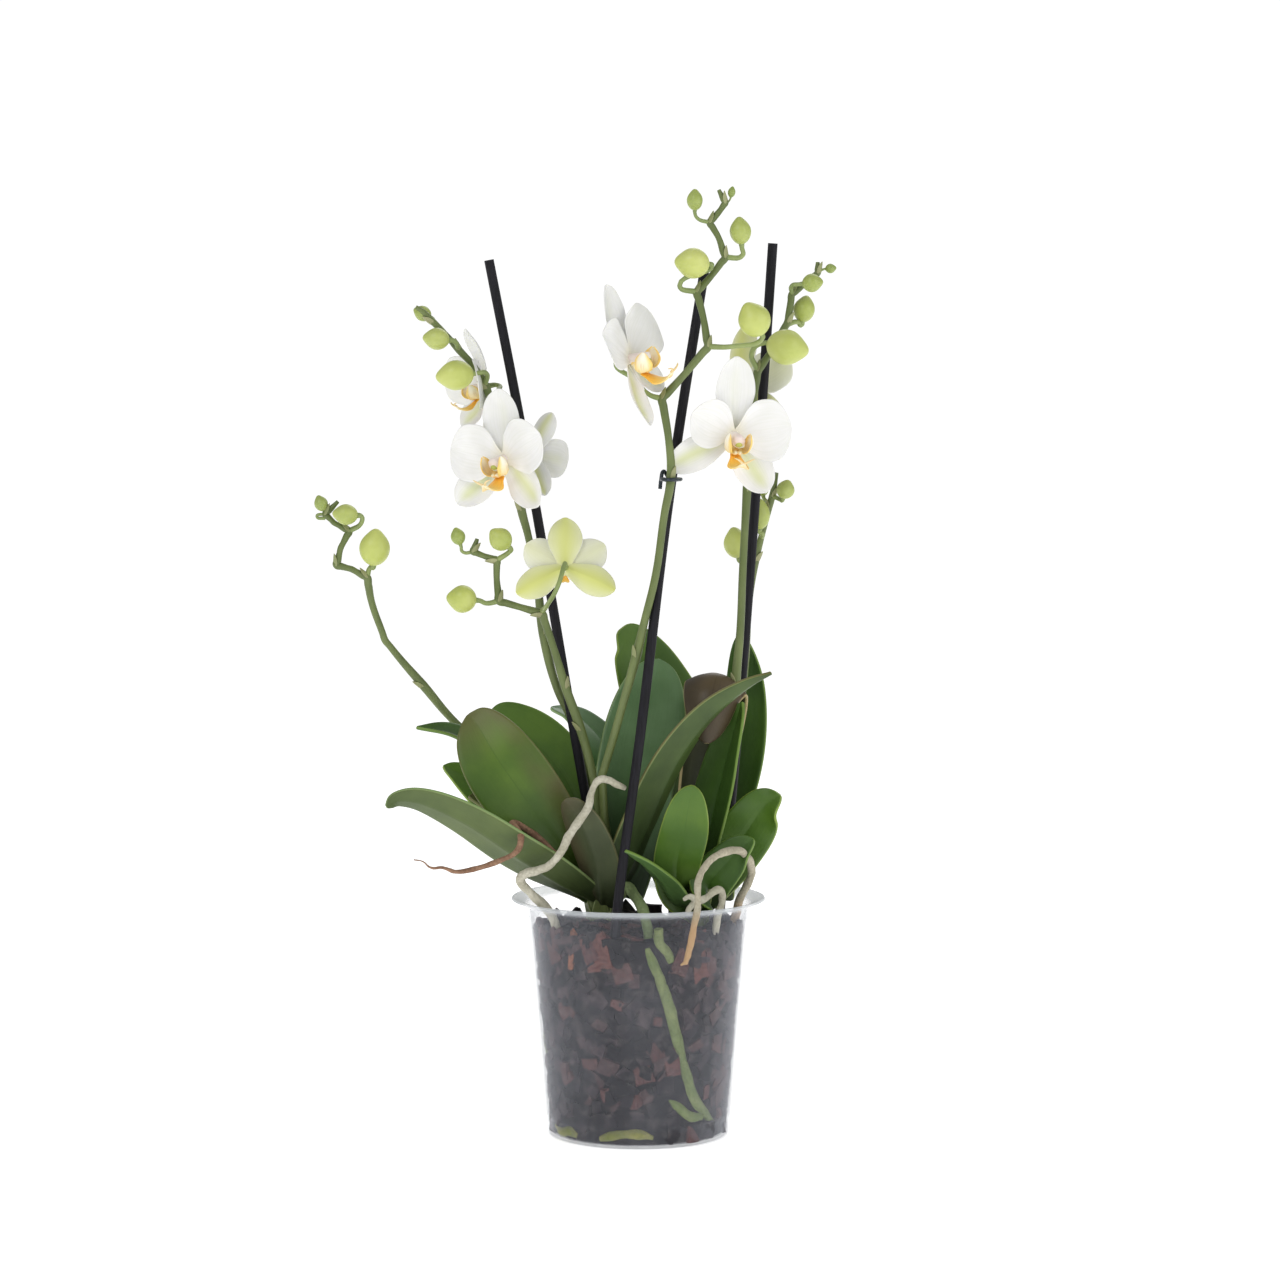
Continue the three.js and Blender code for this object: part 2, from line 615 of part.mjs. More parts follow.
function rootPieces() {
  const air = (points) => points.map(plantPoint);
  const hugWall = (route, radius) => route.map(([degrees, depth]) => wallPoint(degrees, depth, radius));
  return [
    {
      name: "aerial_root_left",
      colour: colours.silverRoot,
      routes: [air([[-6, -36, 66], [-10, -37, 68], [-14, -37, 70], [-18, -38, 70], [-21, -39, 66],
        [-23, -41, 58],
        [-27, -43, 52], [-32, -44, 45], [-36, -44, 37], [-41, -42, 31], [-46, -41, 28.5], [-52, -40, 27],
        [-54.5, -38, 24], [-50, -34, 17], [-43, -28, 9], [-39.5, -25, 3], [-38, -24, -3]])],
      radii: [2, rootRadius],
    },
    {
      name: "aerial_root_dried",
      colour: colours.driedRoot,
      routes: [air([[-24, -9, 16], [-38, -16, 32], [-51, -25, 45], [-58, -34, 49.5], [-56, -41, 47],
        [-54, -44, 44],
        [-56, -45, 38], [-63, -46, 34], [-72, -48, 31], [-84, -50, 29], [-90, -51, 31], [-95, -52, 31],
        [-99, -53, 34], [-103, -54, 35]])],
      radii: [1.5, 0.5],
    },
    {
      name: "aerial_root_right",
      colour: colours.silverRoot,
      routes: [[...air([[44, -6, -4], [46, -7, 3], [47.5, -9, 10], [52, -14, 20], [53, -18, 26],
        [49, -28, 35], [45, -34, 37],
        [40, -42, 37], [34, -50, 35], [30, -54, 31]]), outsidePoint(25.5, 4, 15),
          outsidePoint(25.3, 3.8, 8),
        outsidePoint(25.2, 3.4, 1), outsidePoint(23.7, 2.8, -8), outsidePoint(22.7, 1.2, -16),
          outsidePoint(21.6, -1, -24)]],
      radii: [2, 1.3],
    },
    {
      name: "aerial_root_forked",
      colour: colours.silverRoot,
      routes: [air([[21, -42, 15], [24, -43, 16.5], [27, -41, 14.5], [31, -39, 15], [35, -37, 18],
        [38, -35, 18.5],
        [39, -33, 14], [37, -31, 6], [36, -30, -3]])],
      radii: [1.4, 1.8],
    },
    {
      name: "aerial_root_green",
      colour: colours.greenRoot,
      routes: [air([[-8, -18, 14], [-5, -26, 19], [-2, -33, 16], [2, -38, 10], [4, -41, 3], [5, -42, -3]])],
      radii: [2.4, 2.2],
    },
    {
      name: "wall_root_right",
      colour: colours.greenRoot,
      routes: [hugWall([[5, 0.07], [8, 0.14], [16, 0.3], [23, 0.49], [31, 0.68], [40, 0.83], [49, 0.9],
        [60, 0.97]], 2.7),
        hugWall([[19, 0.8], [27, 0.85], [36, 0.9], [47, 0.91]], 2.3)],
      radii: [2.7, 2.3],
    },
    {
      name: "wall_root_top",
      colour: colours.greenRoot,
      routes: [[...air([[11, -30, -1]]), ...hugWall([[12, 0.05], [16, 0.09], [19, 0.14]], 2.3)]],
      radii: [2.2, 2],
    },
    {
      name: "wall_root_left",
      colour: colours.greenRoot,
      routes: [hugWall([[-98, 0.48], [-96, 0.54], [-92, 0.6], [-94, 0.66]], 2)],
      radii: [1.9, 1.9],
    },
    {
      name: "floor_root_front",
      colour: colours.greenRoot,
      routes: [hugWall([[-26, 1], [-18, 0.985], [-8, 0.97], [2, 0.975], [10, 0.99]], 2.3)],
      radii: [2.2, 2],
    },
    {
      name: "floor_root_left",
      colour: colours.greenRoot,
      routes: [hugWall([[-72, 0.98], [-62, 1], [-52, 0.985], [-44, 1]], 2.3)],
      radii: [2.2, 2.2],
    },
  ];
}

function addRoots() {
  for (const { name, colour, routes, radii } of rootPieces()) {
    const grown = (grow) => {
      const tubes = routes.map((route) => tube(route, radii[0], radii[1], grow));
      return tubes.reduce((whole, part) => whole.add(part));
    };
    addPiece(name, colour, grown(0), grown(haloGap), 0.8);
  }
}

// ---- Leaves ------------------------------------------------------------------------------------

const leaves = [
  { name: "left_front", points: [[-20, -2, 12], [-36, -14, 35], [-51, -20, 57], [-65, -20, 77],
    [-75, -14, 93], [-80, -10, 98]],
    width: 38, facing: [-0.1, -0.9, 0.4], fold: 0.1, stalk: 0.35, peak: 0.62 },
  { name: "left_lowest", points: [[-19, -4, 9], [-37, -22, 21], [-57, -34, 35], [-78, -42, 50],
    [-98, -46, 60], [-110, -48, 62], [-116, -50, 59]],
    width: 28, facing: [0.3, 0.7, 0.65], fold: 0.2, stalk: 0.45, peak: 0.42 },
  { name: "left_pointed", points: [[-21, 1, 12], [-45, 13, 46], [-66, 11, 70], [-86, 6, 86], [-105, 2, 91]],
    width: 26, facing: [0.35, -0.25, 0.9], fold: 0.4, stalk: 0.4, peak: 0.5 },
  { name: "left_back", points: [[-19, 3, 13], [-30, 22, 54], [-45, 32, 76], [-62, 38, 90], [-73, 40, 94]],
    width: 34, facing: [0.2, -0.8, 0.5], fold: 0.12, stalk: 0.35, peak: 0.6 },
  { name: "left_behind", points: [[-20, 3, 9], [-47, 24, 35], [-71, 30, 54], [-85, 32, 65], [-94, 32, 70]],
    width: 22, facing: [0.2, -0.75, 0.6], fold: 0.15, stalk: 0.4, peak: 0.6 },
  { name: "left_red_tip", points: [[-21, 0, 8], [-39, -2, 29], [-58, -2, 46], [-72, -4, 56], [-80, -6, 59]],
    width: 18, facing: [0.3, -0.6, 0.7], fold: 0.2, stalk: 0.4, peak: 0.6 },
  { name: "left_small_brown", points: [[-17, -3, 7], [-17, -16, 15], [-19, -24, 30], [-24, -31, 45],
    [-30, -35, 56], [-34, -37, 61]],
    width: 22, facing: [0.3, 0.8, 0.4], fold: 0.12, stalk: 0.35, peak: 0.6 },
  { name: "back_thin", points: [[-17, 4, 9], [-10, 28, 39], [-13, 50, 71], [-29, 62, 90], [-43, 68, 95]],
    width: 26, facing: [0.1, -0.35, 1], fold: 0.1, stalk: 0.4, peak: 0.55 },
  { name: "centre_back", points: [[26, 3, 10], [27, 26, 44], [19, 38, 82], [6, 44, 110], [-4, 42, 128],
    [-10, 38, 134]],
    width: 40, facing: [0.3, -0.9, 0.3], fold: 0.12, stalk: 0.35, peak: 0.62 },
  { name: "centre_broad", points: [[-14, 1, 12], [-6, 4, 42], [0, 11, 75], [6, 18, 103], [10, 24, 122]],
    width: 39, facing: [0.1, -0.9, 0.3], fold: 0.1, stalk: 0.35, peak: 0.62 },
  { name: "centre_long", points: [[-13, -3, 9], [-5, -15, 26], [3, -19, 45], [17, -22, 76], [33, -24, 98],
    [50, -25, 112], [62, -26, 119]],
    width: 30, facing: [-0.5, 0.45, 0.75], fold: 0.35, stalk: 0.5, peak: 0.4 },
  { name: "right_folded", points: [[26, 2, 11], [28, 8, 42], [34, 13, 80], [38, 8, 106], [38, -2, 117],
    [35, -12, 110], [33, -15, 97], [32, -15, 85]],
    width: 24, across: [-1, 0, 0.2], fold: 0.12, stalk: 0.5, peak: 0.5, steps: 12 },
  { name: "right_tall", points: [[29, 3, 9], [40, 28, 40], [49, 36, 73], [52, 37, 106], [49, 34, 134]],
    width: 24, facing: [-0.3, -0.9, 0.2], fold: 0.2, stalk: 0.4, peak: 0.55 },
  { name: "right_pale_edge", points: [[28, -1, 11], [34, -4, 43], [41, -6, 73], [46, -8, 92],
    [49, -8, 104]],
    width: 24, facing: [-0.6, -0.5, 0.3], fold: 0.35, stalk: 0.5, peak: 0.5 },
  { name: "right_front", points: [[25, -2, 7], [19, -15, 15], [18, -24, 29], [21, -33, 44], [23, -39, 57],
    [25, -41, 68]],
    width: 22, facing: [0.1, -0.9, 0.4], fold: 0.1, stalk: 0.4, peak: 0.62 },
  { name: "right_low", points: [[29, 1, 8], [41, 2, 26], [51, -3, 42], [59, -7, 54], [67, -10, 60]],
    width: 26, facing: [0.4, -0.7, 0.6], fold: 0.15, stalk: 0.4, peak: 0.55 },
  { name: "front_small", points: [[25, -2, 5], [17, -18, 11], [12, -27, 21], [5, -35, 29], [-1, -40, 34],
    [-6, -44, 38]],
    width: 15, facing: [0.4, 0.3, 0.9], fold: 0.3, stalk: 0.5, peak: 0.35 },
  { name: "right_dark", points: [[28, -2, 6], [34, -18, 20], [41, -22, 29], [47, -24, 36], [54, -25, 41]],
    width: 20, facing: [0.3, -0.7, 0.6], fold: 0.2, stalk: 0.5, peak: 0.45 },
];

function leaf({ points, facing, across, ...shape }, grow = 0) {
  const place = {
    ...shape,
    thickness: leafThickness,
    facing: facing && new THREE.Vector3(...facing),
    across: across && new THREE.Vector3(...across),
  };
  return blade(points.map(plantPoint), place, grow);
}

function addLeaves() {
  for (const each of leaves) {
    const colour = each.name === "right_folded" ? colours.brownLeaf : colours.leaf;
    addPiece(`leaf_${each.name}`, colour, leaf(each), leaf(each, haloGap), 0.45);
  }
}

// ---- The whole plant, from the pieces that others are fitted to, to the bark that is fitted to all --

addPot();
addCanes();
addCrowns();
addSpikes();
addClips();
addFlowers();
addRoots();
addLeaves();
addPiece("bark_mix", colours.bark, bark(), bark(), 0.95);

export default orchid;
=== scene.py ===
"""A potted moth orchid: two plants with six flower spikes, staked on thin canes in a clear pot of bark."""

import math
import random

import bpy
from mathutils import Matrix, Vector


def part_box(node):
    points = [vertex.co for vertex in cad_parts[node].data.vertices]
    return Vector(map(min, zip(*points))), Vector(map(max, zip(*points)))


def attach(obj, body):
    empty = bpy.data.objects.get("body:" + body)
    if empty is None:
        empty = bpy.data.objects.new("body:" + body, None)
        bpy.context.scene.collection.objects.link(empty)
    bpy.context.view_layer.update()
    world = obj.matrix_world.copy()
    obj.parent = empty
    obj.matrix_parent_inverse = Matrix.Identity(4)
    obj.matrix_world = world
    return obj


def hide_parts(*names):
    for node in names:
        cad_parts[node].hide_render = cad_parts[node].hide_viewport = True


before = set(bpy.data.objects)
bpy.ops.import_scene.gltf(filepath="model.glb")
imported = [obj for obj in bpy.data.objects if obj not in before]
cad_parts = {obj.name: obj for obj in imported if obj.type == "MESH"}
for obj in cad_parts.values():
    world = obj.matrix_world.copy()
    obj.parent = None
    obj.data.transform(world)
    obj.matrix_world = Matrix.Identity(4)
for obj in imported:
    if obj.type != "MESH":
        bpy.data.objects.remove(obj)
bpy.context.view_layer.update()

# ---- Studio ------------------------------------------------------------------------------------
# A pale floor, a white surround and three soft lights, with the camera a little above the plant's
# middle, looking slightly down. None of it is part of the plant.
bpy.ops.object.select_all(action="DESELECT")
camera_place = (0.0008, -1.75, 0.345)
camera_tilt = math.radians(90 - 3.61)
camera_lens = 104.57
bpy.ops.object.camera_add(location=camera_place, rotation=(camera_tilt, 0, 0))
camera = bpy.context.object
camera.data.lens = camera_lens
camera.data.sensor_width = 36
bpy.context.scene.camera = camera

bpy.ops.mesh.primitive_plane_add(size=60, location=(0, 0, -0.0002))
floor = bpy.context.object
floor.name = "studio_floor"
floor_paint = bpy.data.materials.new("studio_paper")
floor_paint.use_nodes = True
floor_shader = floor_paint.node_tree.nodes["Principled BSDF"]
floor_shader.inputs["Base Color"].default_value = (0.93, 0.93, 0.93, 1)
floor_shader.inputs["Roughness"].default_value = 0.9
floor_shader.inputs["Specular IOR Level"].default_value = 0.1
floor_shader.inputs["Emission Color"].default_value = (1, 1, 1, 1)
floor_shader.inputs["Emission Strength"].default_value = 0.66
floor.data.materials.append(floor_paint)

# the white surround looks brighter than the light it gives, as a lit backdrop behind a subject does
surround = bpy.data.worlds.new("studio_surround")
surround.use_nodes = True
sky = surround.node_tree
seen = sky.nodes.new("ShaderNodeLightPath")
strength = sky.nodes.new("ShaderNodeMapRange")
strength.inputs["To Min"].default_value = 0.44
strength.inputs["To Max"].default_value = 1.05
sky.links.new(seen.outputs["Is Camera Ray"], strength.inputs["Value"])
sky.links.new(strength.outputs["Result"], sky.nodes["Background"].inputs["Strength"])
sky.nodes["Background"].inputs["Color"].default_value = (1, 1, 1, 1)
bpy.context.scene.world = surround
bpy.context.scene.view_settings.view_transform = "Standard"

for light_place, light_size, light_power in (
    ((-1.1, -1.6, 1.5), 1.0, 12),
    ((1.5, -1.1, 0.9), 1.2, 8),
    ((0.4, 1.5, 1.5), 1.2, 8),
):
    bpy.ops.object.light_add(type="AREA", location=light_place)
    light = bpy.context.object
    light.data.size = light_size
    light.data.energy = light_power
    toward_plant = Vector((0, 0, 0.2)) - Vector(light_place)
    light.rotation_euler = toward_plant.to_track_quat("-Z", "Y").to_euler()


# ---- Pot ---------------------------------------------------------------------------------------
# A thin clear pot, injection-moulded in one piece from slightly milky plastic. It has a flared lip,
# a faint ring below it, a stacking step near the foot and eight drain holes in its floor.
MM = 0.001


def deselect():
    bpy.ops.object.select_all(action="DESELECT")


def turned(name, profile, sides):
    """A closed body of revolution: a circle drawn out ring by ring along (radius, height) in mm."""
    deselect()
    radius, height = profile[0]
    bpy.ops.mesh.primitive_circle_add(vertices=sides, radius=radius * MM, location=(0, 0, height * MM))
    body = bpy.context.object
    body.name = name
    bpy.ops.object.transform_apply(location=True, rotation=True, scale=True)
    bpy.ops.object.mode_set(mode="EDIT")
    bpy.ops.mesh.select_all(action="SELECT")
    bpy.ops.mesh.edge_face_add()
    bpy.ops.mesh.select_mode(type="EDGE")
    bpy.ops.mesh.duplicate()
    bpy.ops.mesh.delete(type="ONLY_FACE")
    bpy.ops.mesh.select_all(action="DESELECT")
    bpy.ops.mesh.select_non_manifold(extend=False, use_wire=True, use_boundary=False)
    for next_radius, next_height in profile[1:]:
        rise = (next_height - height) * MM
        bpy.ops.mesh.extrude_edges_move(TRANSFORM_OT_translate={"value": (0, 0, rise)})
        share = next_radius / radius
        centre = (0, 0, next_height * MM)
        bpy.ops.transform.resize(value=(share, share, 1), center_override=centre)
        radius, height = next_radius, next_height
    bpy.ops.mesh.edge_face_add()
    bpy.ops.mesh.select_all(action="SELECT")
    bpy.ops.mesh.remove_doubles(threshold=1e-6)
    bpy.ops.mesh.normals_make_consistent(inside=False)
    bpy.ops.object.mode_set(mode="OBJECT")
    return body


def smooth(piece, degrees=40):
    deselect()
    piece.select_set(True)
    bpy.context.view_layer.objects.active = piece
    bpy.ops.object.shade_smooth_by_angle(angle=math.radians(degrees))


def apply_modifiers(piece):
    deselect()
    piece.select_set(True)
    bpy.context.view_layer.objects.active = piece
    for modifier in list(piece.modifiers):
        bpy.ops.object.modifier_apply(modifier=modifier.name)


def join(pieces, name):
    """Joins pieces into the first of them."""
    deselect()
    for piece in pieces:
        piece.select_set(True)
    bpy.context.view_layer.objects.active = pieces[0]
    if len(pieces) > 1:
        bpy.ops.object.join()
    pieces[0].name = name
    pieces[0].data.name = name
    return pieces[0]


def paint(code):
    """The linear colour of a six-digit colour code."""
    values = [int(code[i : i + 2], 16) / 255 for i in (0, 2, 4)]
    return tuple(v / 12.92 if v < 0.04045 else ((v + 0.055) / 1.055) ** 2.4 for v in values) + (1,)


def new_material(name, roughness, specular=0.5):
    material = bpy.data.materials.new(name)
    material.use_nodes = True
    tree = material.node_tree
    shader = tree.nodes["Principled BSDF"]
    shader.inputs["Roughness"].default_value = roughness
    shader.inputs["Specular IOR Level"].default_value = specular
    return material, tree, shader


def coordinates(tree, kind="Object", scale=(1, 1, 1)):
    source = tree.nodes.new("ShaderNodeTexCoord")
    mapping = tree.nodes.new("ShaderNodeMapping")
    mapping.inputs["Scale"].default_value = scale
    tree.links.new(source.outputs[kind], mapping.inputs["Vector"])
    return mapping.outputs["Vector"]


def mottle(tree, vector, scale, detail=3, low=0.35, high=0.65):
    """A soft 0 to 1 pattern of the given scale."""
    pattern = tree.nodes.new("ShaderNodeTexNoise")
    pattern.inputs["Scale"].default_value = scale
    pattern.inputs["Detail"].default_value = detail
    tree.links.new(vector, pattern.inputs["Vector"])
    return stretch(tree, pattern.outputs["Fac"], low, high)


def stretch(tree, value, low, high):
    """0 at low and 1 at high, with a smooth step between; low may be the larger."""
    spread = tree.nodes.new("ShaderNodeMapRange")
    spread.interpolation_type = "SMOOTHSTEP"
    spread.inputs["From Min"].default_value = low
    spread.inputs["From Max"].default_value = high
    tree.links.new(value, spread.inputs["Value"])
    return spread.outputs["Result"]


def arithmetic(tree, operation, first, second=None):
    node = tree.nodes.new("ShaderNodeMath")
    node.operation = operation
    for socket, value in zip(node.inputs, (first, second)):
        if value is None:
            continue
        if isinstance(value, (int, float)):
            socket.default_value = value
        else:
            tree.links.new(value, socket)
    return node.outputs["Value"]


def blend(tree, share, first, second):
    """Mixes two colours, each a socket or a plain colour, by a share that is a socket or a number."""
    node = tree.nodes.new("ShaderNodeMix")
    node.data_type = "RGBA"
    sockets = [s for s in node.inputs if s.type == "RGBA"]
    for socket, value in zip(sockets, (first, second)):
        if isinstance(value, tuple):
            socket.default_value = value
        else:
            tree.links.new(value, socket)
    if isinstance(share, float):
        node.inputs[0].default_value = share
    else:
        tree.links.new(share, node.inputs[0])
    return next(s for s in node.outputs if s.type == "RGBA")


def bump(tree, shader, height, strength, distance=0.0005):
    node = tree.nodes.new("ShaderNodeBump")
    node.inputs["Strength"].default_value = strength
    node.inputs["Distance"].default_value = distance
    tree.links.new(height, node.inputs["Height"])
    tree.links.new(node.outputs["Normal"], shader.inputs["Normal"])


def height_share(tree, low, high):
    """0 below one height and 1 above another, in metres."""
    split = tree.nodes.new("ShaderNodeSeparateXYZ")
    tree.links.new(coordinates(tree), split.inputs["Vector"])
    return stretch(tree, split.outputs["Z"], low, high)


def keep(piece, name, slot, *nodes):
    """Names a finished piece, lets it ride on the plant's one body and stand for its CAD nodes."""
    piece.name = name
    piece.data.name = name
    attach(piece, "root")
    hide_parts(*nodes)


def clear_plastic():
    material, tree, shader = new_material("clear_plastic", 0.16, 0.5)
    rim = height_share(tree, 0.1085, 0.1112)
    grazing = tree.nodes.new("ShaderNodeLayerWeight")
    grazing.inputs["Blend"].default_value = 0.35
    edge = arithmetic(tree, "POWER", grazing.outputs["Facing"], 2.6)
    haze = arithmetic(tree, "MULTIPLY", edge, 0.62)
    mist = arithmetic(tree, "MULTIPLY", mottle(tree, coordinates(tree, scale=(1, 1, 0.6)), 40, 2), 0.02)
    haze = arithmetic(tree, "ADD", arithmetic(tree, "ADD", haze, mist), 0.045)
    haze = arithmetic(tree, "ADD", haze, arithmetic(tree, "MULTIPLY", rim, 0.3))
    tree.links.new(blend(tree, rim, paint("bcc0ca"), paint("dde2e6")), shader.inputs["Base Color"])
    clear = tree.nodes.new("ShaderNodeBsdfTransparent")
    mix = tree.nodes.new("ShaderNodeMixShader")
    tree.links.new(haze, mix.inputs["Fac"])
    tree.links.new(clear.outputs["BSDF"], mix.inputs[1])
    tree.links.new(shader.outputs["BSDF"], mix.inputs[2])
    output = tree.nodes["Material Output"]
    tree.links.new(mix.outputs["Shader"], output.inputs["Surface"])
    bump(tree, shader, mottle(tree, coordinates(tree, scale=(1, 1, 0.25)), 60, 1), 0.05)
    return material


# the wall's two sides as (radius, height) in mm: the outside from its foot up, the inside from the lip down
outside = [
    (41.0, 0), (42.0, 0.35), (42.65, 1.0), (42.8, 1.8), (42.9, 8.2), (43.2, 8.7), (43.7, 9.4), (43.8, 10.4),
    (51.3, 101.8), (51.65, 102.3), (51.95, 103.2), (51.95, 104.6), (52.15, 106.2), (52.8, 107.9),
    (54.0, 109.3), (55.8, 110.5), (58.0, 111.4), (59.5, 111.8),
]
lip_edge = [(60.0, 112.1), (60.0, 112.6), (59.6, 113.0)]
inside = [
    (58.6, 112.9), (56.4, 112.1), (54.2, 111.0), (52.6, 109.4), (51.6, 107.7), (51.1, 105.6), (51.0, 103.4),
    (50.7, 102.0), (42.95, 10.6), (42.6, 9.8), (42.0, 8.8), (41.9, 2.9), (41.4, 1.9), (40.4, 1.35),
]
pot = turned("clear_pot", outside + lip_edge + inside, 128)
drain_ring, drain_radius, drain_count = 28.0, 3.5, 8
for i in range(drain_count):
    turn = 2 * math.pi * i / drain_count
    place = (drain_ring * MM * math.cos(turn), drain_ring * MM * math.sin(turn), 0)
    deselect()
    bpy.ops.mesh.primitive_cylinder_add(vertices=24, radius=drain_radius * MM, depth=8 * MM, location=place)
    punch = bpy.context.object
    hole = pot.modifiers.new("drain_hole", "BOOLEAN")
    hole.object = punch
    hole.solver = "EXACT"
    apply_modifiers(pot)
    bpy.data.objects.remove(punch)
smooth(pot, 50)
pot.data.materials.append(clear_plastic())
keep(pot, "clear_pot", "clear_plastic", "pot")


# ---- Bark mix ----------------------------------------------------------------------------------
# Fir-bark chips with fine dark bark between them, filled loosely round the roots. The chips lie flat
# against the wall and in a rough layer on top; a few fresh ones and bits of husk are redder.
random.seed(11)
# in metres: the highest chips, the level that the plants are placed from, the pot's floor inside, and the
# gap that the bark keeps from the wall
BARK_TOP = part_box("bark_mix")[1].z - 0.001
BARK_SURFACE = 0.102
POT_FLOOR = 0.00165
WALL_GAP = 0.0003


def wall_inside(height):
    """The inside radius of the pot's wall at a height, in metres."""
    foot, foot_height = 0.0428, 0.0096
    top, top_height = 0.0507, 0.102
    share = max(0.0, (height - foot_height) / (top_height - foot_height))
    return foot + (top - foot) * share - 0.0001


def ramp(tree, value, stops):
    """A colour for each value, from (value, colour code) pairs."""
    node = tree.nodes.new("ShaderNodeValToRGB")
    elements = node.color_ramp.elements
    while len(elements) < len(stops):
        elements.new(0.5)
    for element, (at, code) in zip(elements, stops):
        element.position = at
        element.color = paint(code)
    tree.links.new(value, node.inputs["Fac"])
    return node.outputs["Color"]


def bark_material():
    material, tree, shader = new_material("bark_chips", 0.85, 0.3)
    tone = tree.nodes.new("ShaderNodeAttribute")
    tone.attribute_name = "tone"
    where = coordinates(tree)
    shades = ramp(tree, tone.outputs["Fac"], [(0.0, "131015"), (0.4, "2a242a"), (0.66, "463a3f"),
                                              (0.8, "513b3b"), (0.92, "6a4340"), (1.0, "9a6144")])
    grain = mottle(tree, where, 700, 5)
    dust = mottle(tree, where, 180, 3, 0.45, 0.75)
    dark = blend(tree, grain, shades, paint("1a1617"))
    mixed = blend(tree, 0.55, dark, shades)
    light = arithmetic(tree, "MULTIPLY", dust, 0.22)
    tree.links.new(blend(tree, light, mixed, paint("7d726f")), shader.inputs["Base Color"])
    bump(tree, shader, dust, 0.5, 0.0008)
    return material


chip_skin = bark_material()
chip_shapes = []
for seed in range(8):
    deselect()
    bpy.ops.mesh.primitive_cube_add(size=1)
    chip = bpy.context.object
    bpy.ops.object.mode_set(mode="EDIT")
    bpy.ops.mesh.select_all(action="SELECT")
    bpy.ops.mesh.subdivide(number_cuts=1)
    bpy.ops.transform.vertex_random(offset=0.17, uniform=0, normal=0, seed=seed)
    bpy.ops.mesh.normals_make_consistent(inside=False)
    bpy.ops.object.mode_set(mode="OBJECT")
    smooth(chip, 30)
    chip.data.attributes.new("tone", "FLOAT", "POINT")
    chip_shapes.append(chip)


def lay_chip(place, out, spin, size, tone, shape):
    """A copy of a chip, its broad face turned to look out."""
    copy = bpy.data.objects.new("chip", shape.data.copy())
    bpy.context.scene.collection.objects.link(copy)
    turn = Vector(out).to_track_quat("Z", "Y").to_matrix().to_4x4() @ Matrix.Rotation(spin, 4, "Z")
    copy.data.transform(Matrix.Translation(place) @ turn @ Matrix.Diagonal((*size, 1)))
    copy.data.attributes["tone"].data.foreach_set("value", [tone] * len(copy.data.vertices))
    return copy


# Where roots lie against the wall, as degrees round from the front and share of the bark's depth:
# the chips are left out there. The roots themselves are made further on.
wall_routes = {
    "wall_root_right": [(5, 0.07), (8, 0.14), (16, 0.3), (23, 0.49), (31, 0.68), (40, 0.83), (49, 0.9),
                        (60, 0.97)],
    "wall_root_branch": [(19, 0.8), (27, 0.85), (36, 0.9), (47, 0.91)],
    "wall_root_top": [(11, -0.02), (12, 0.05), (16, 0.09), (19, 0.14)],
    "wall_root_left": [(-98, 0.48), (-96, 0.54), (-92, 0.6), (-94, 0.66)],
    "floor_root_front": [(-26, 1), (-18, 0.985), (-8, 0.97), (2, 0.975), (10, 0.99)],
    "floor_root_left": [(-72, 0.98), (-62, 1), (-52, 0.985), (-44, 1)],
}


def by_a_root(turn, height):
    """Whether a place on the wall is within a few mm of a root that lies there."""
    room, wall_radius, steps = 0.0062, 0.047, 4
    for route in wall_routes.values():
        for (a, s), (b, t) in zip(route, route[1:]):
            for k in range(steps + 1):
                angle = math.radians(a + (b - a) * k / steps - 90)
                level = BARK_SURFACE - (BARK_SURFACE - 0.005) * (s + (t - s) * k / steps)
                aside = wall_radius * abs(math.remainder(turn - angle, 2 * math.pi))
                if math.hypot(aside, height - level) < room:
                    return True
    return False


chips = []
rows, spacing = 23, 0.0088
for row in range(rows):
    height = 0.0045 + (BARK_TOP - 0.0085) * row / (rows - 1)
    around = int(2 * math.pi * wall_inside(height) / spacing)
    for i in range(around):
        turn = 2 * math.pi * (i + random.uniform(-0.4, 0.4) + 0.5 * (row % 2)) / around
        at_height = min(max(height + random.uniform(-0.002, 0.002), 0.0042), BARK_TOP - 0.003)
        length = random.uniform(0.0055, 0.0115)
        size = (length, length * random.uniform(0.45, 0.8), random.uniform(0.0016, 0.0028))
        depth = wall_inside(at_height - 0.003) - 0.0015 - random.uniform(0, 0.0014)
        lean = random.uniform(-0.3, 0.3)
        out = Vector((math.cos(turn + lean), math.sin(turn + lean), random.uniform(-0.3, 0.3)))
        tone = min(0.86, random.random() ** 1.25)
        place = (depth * math.cos(turn), depth * math.sin(turn), at_height)
        chip = (place, out, random.uniform(0, math.pi), size, tone, random.choice(chip_shapes))
        if not by_a_root(turn, at_height):
            chips.append(lay_chip(*chip))
chips_on_top, top_reach = 260, 0.046
for i in range(chips_on_top):
    turn = random.uniform(0, 2 * math.pi)
    reach = top_reach * math.sqrt(random.random())
    length = random.uniform(0.006, 0.014)
    size = (length, length * random.uniform(0.5, 0.8), random.uniform(0.002, 0.004))
    out = Vector((random.uniform(-0.5, 0.5), random.uniform(-0.5, 0.5), 1))
    sunk = 0.0025 + 0.002 * min(1, (reach / 0.04) ** 3) + (0.002 if math.sin(turn) > 0 else 0)
    place = (reach * math.cos(turn), reach * math.sin(turn), BARK_TOP - sunk + random.uniform(-0.002, 0.001))
    chip = (place, out, random.uniform(0, math.pi), size, random.random() ** 1.2 * 0.9,
            random.choice(chip_shapes))
    chips.append(lay_chip(*chip))
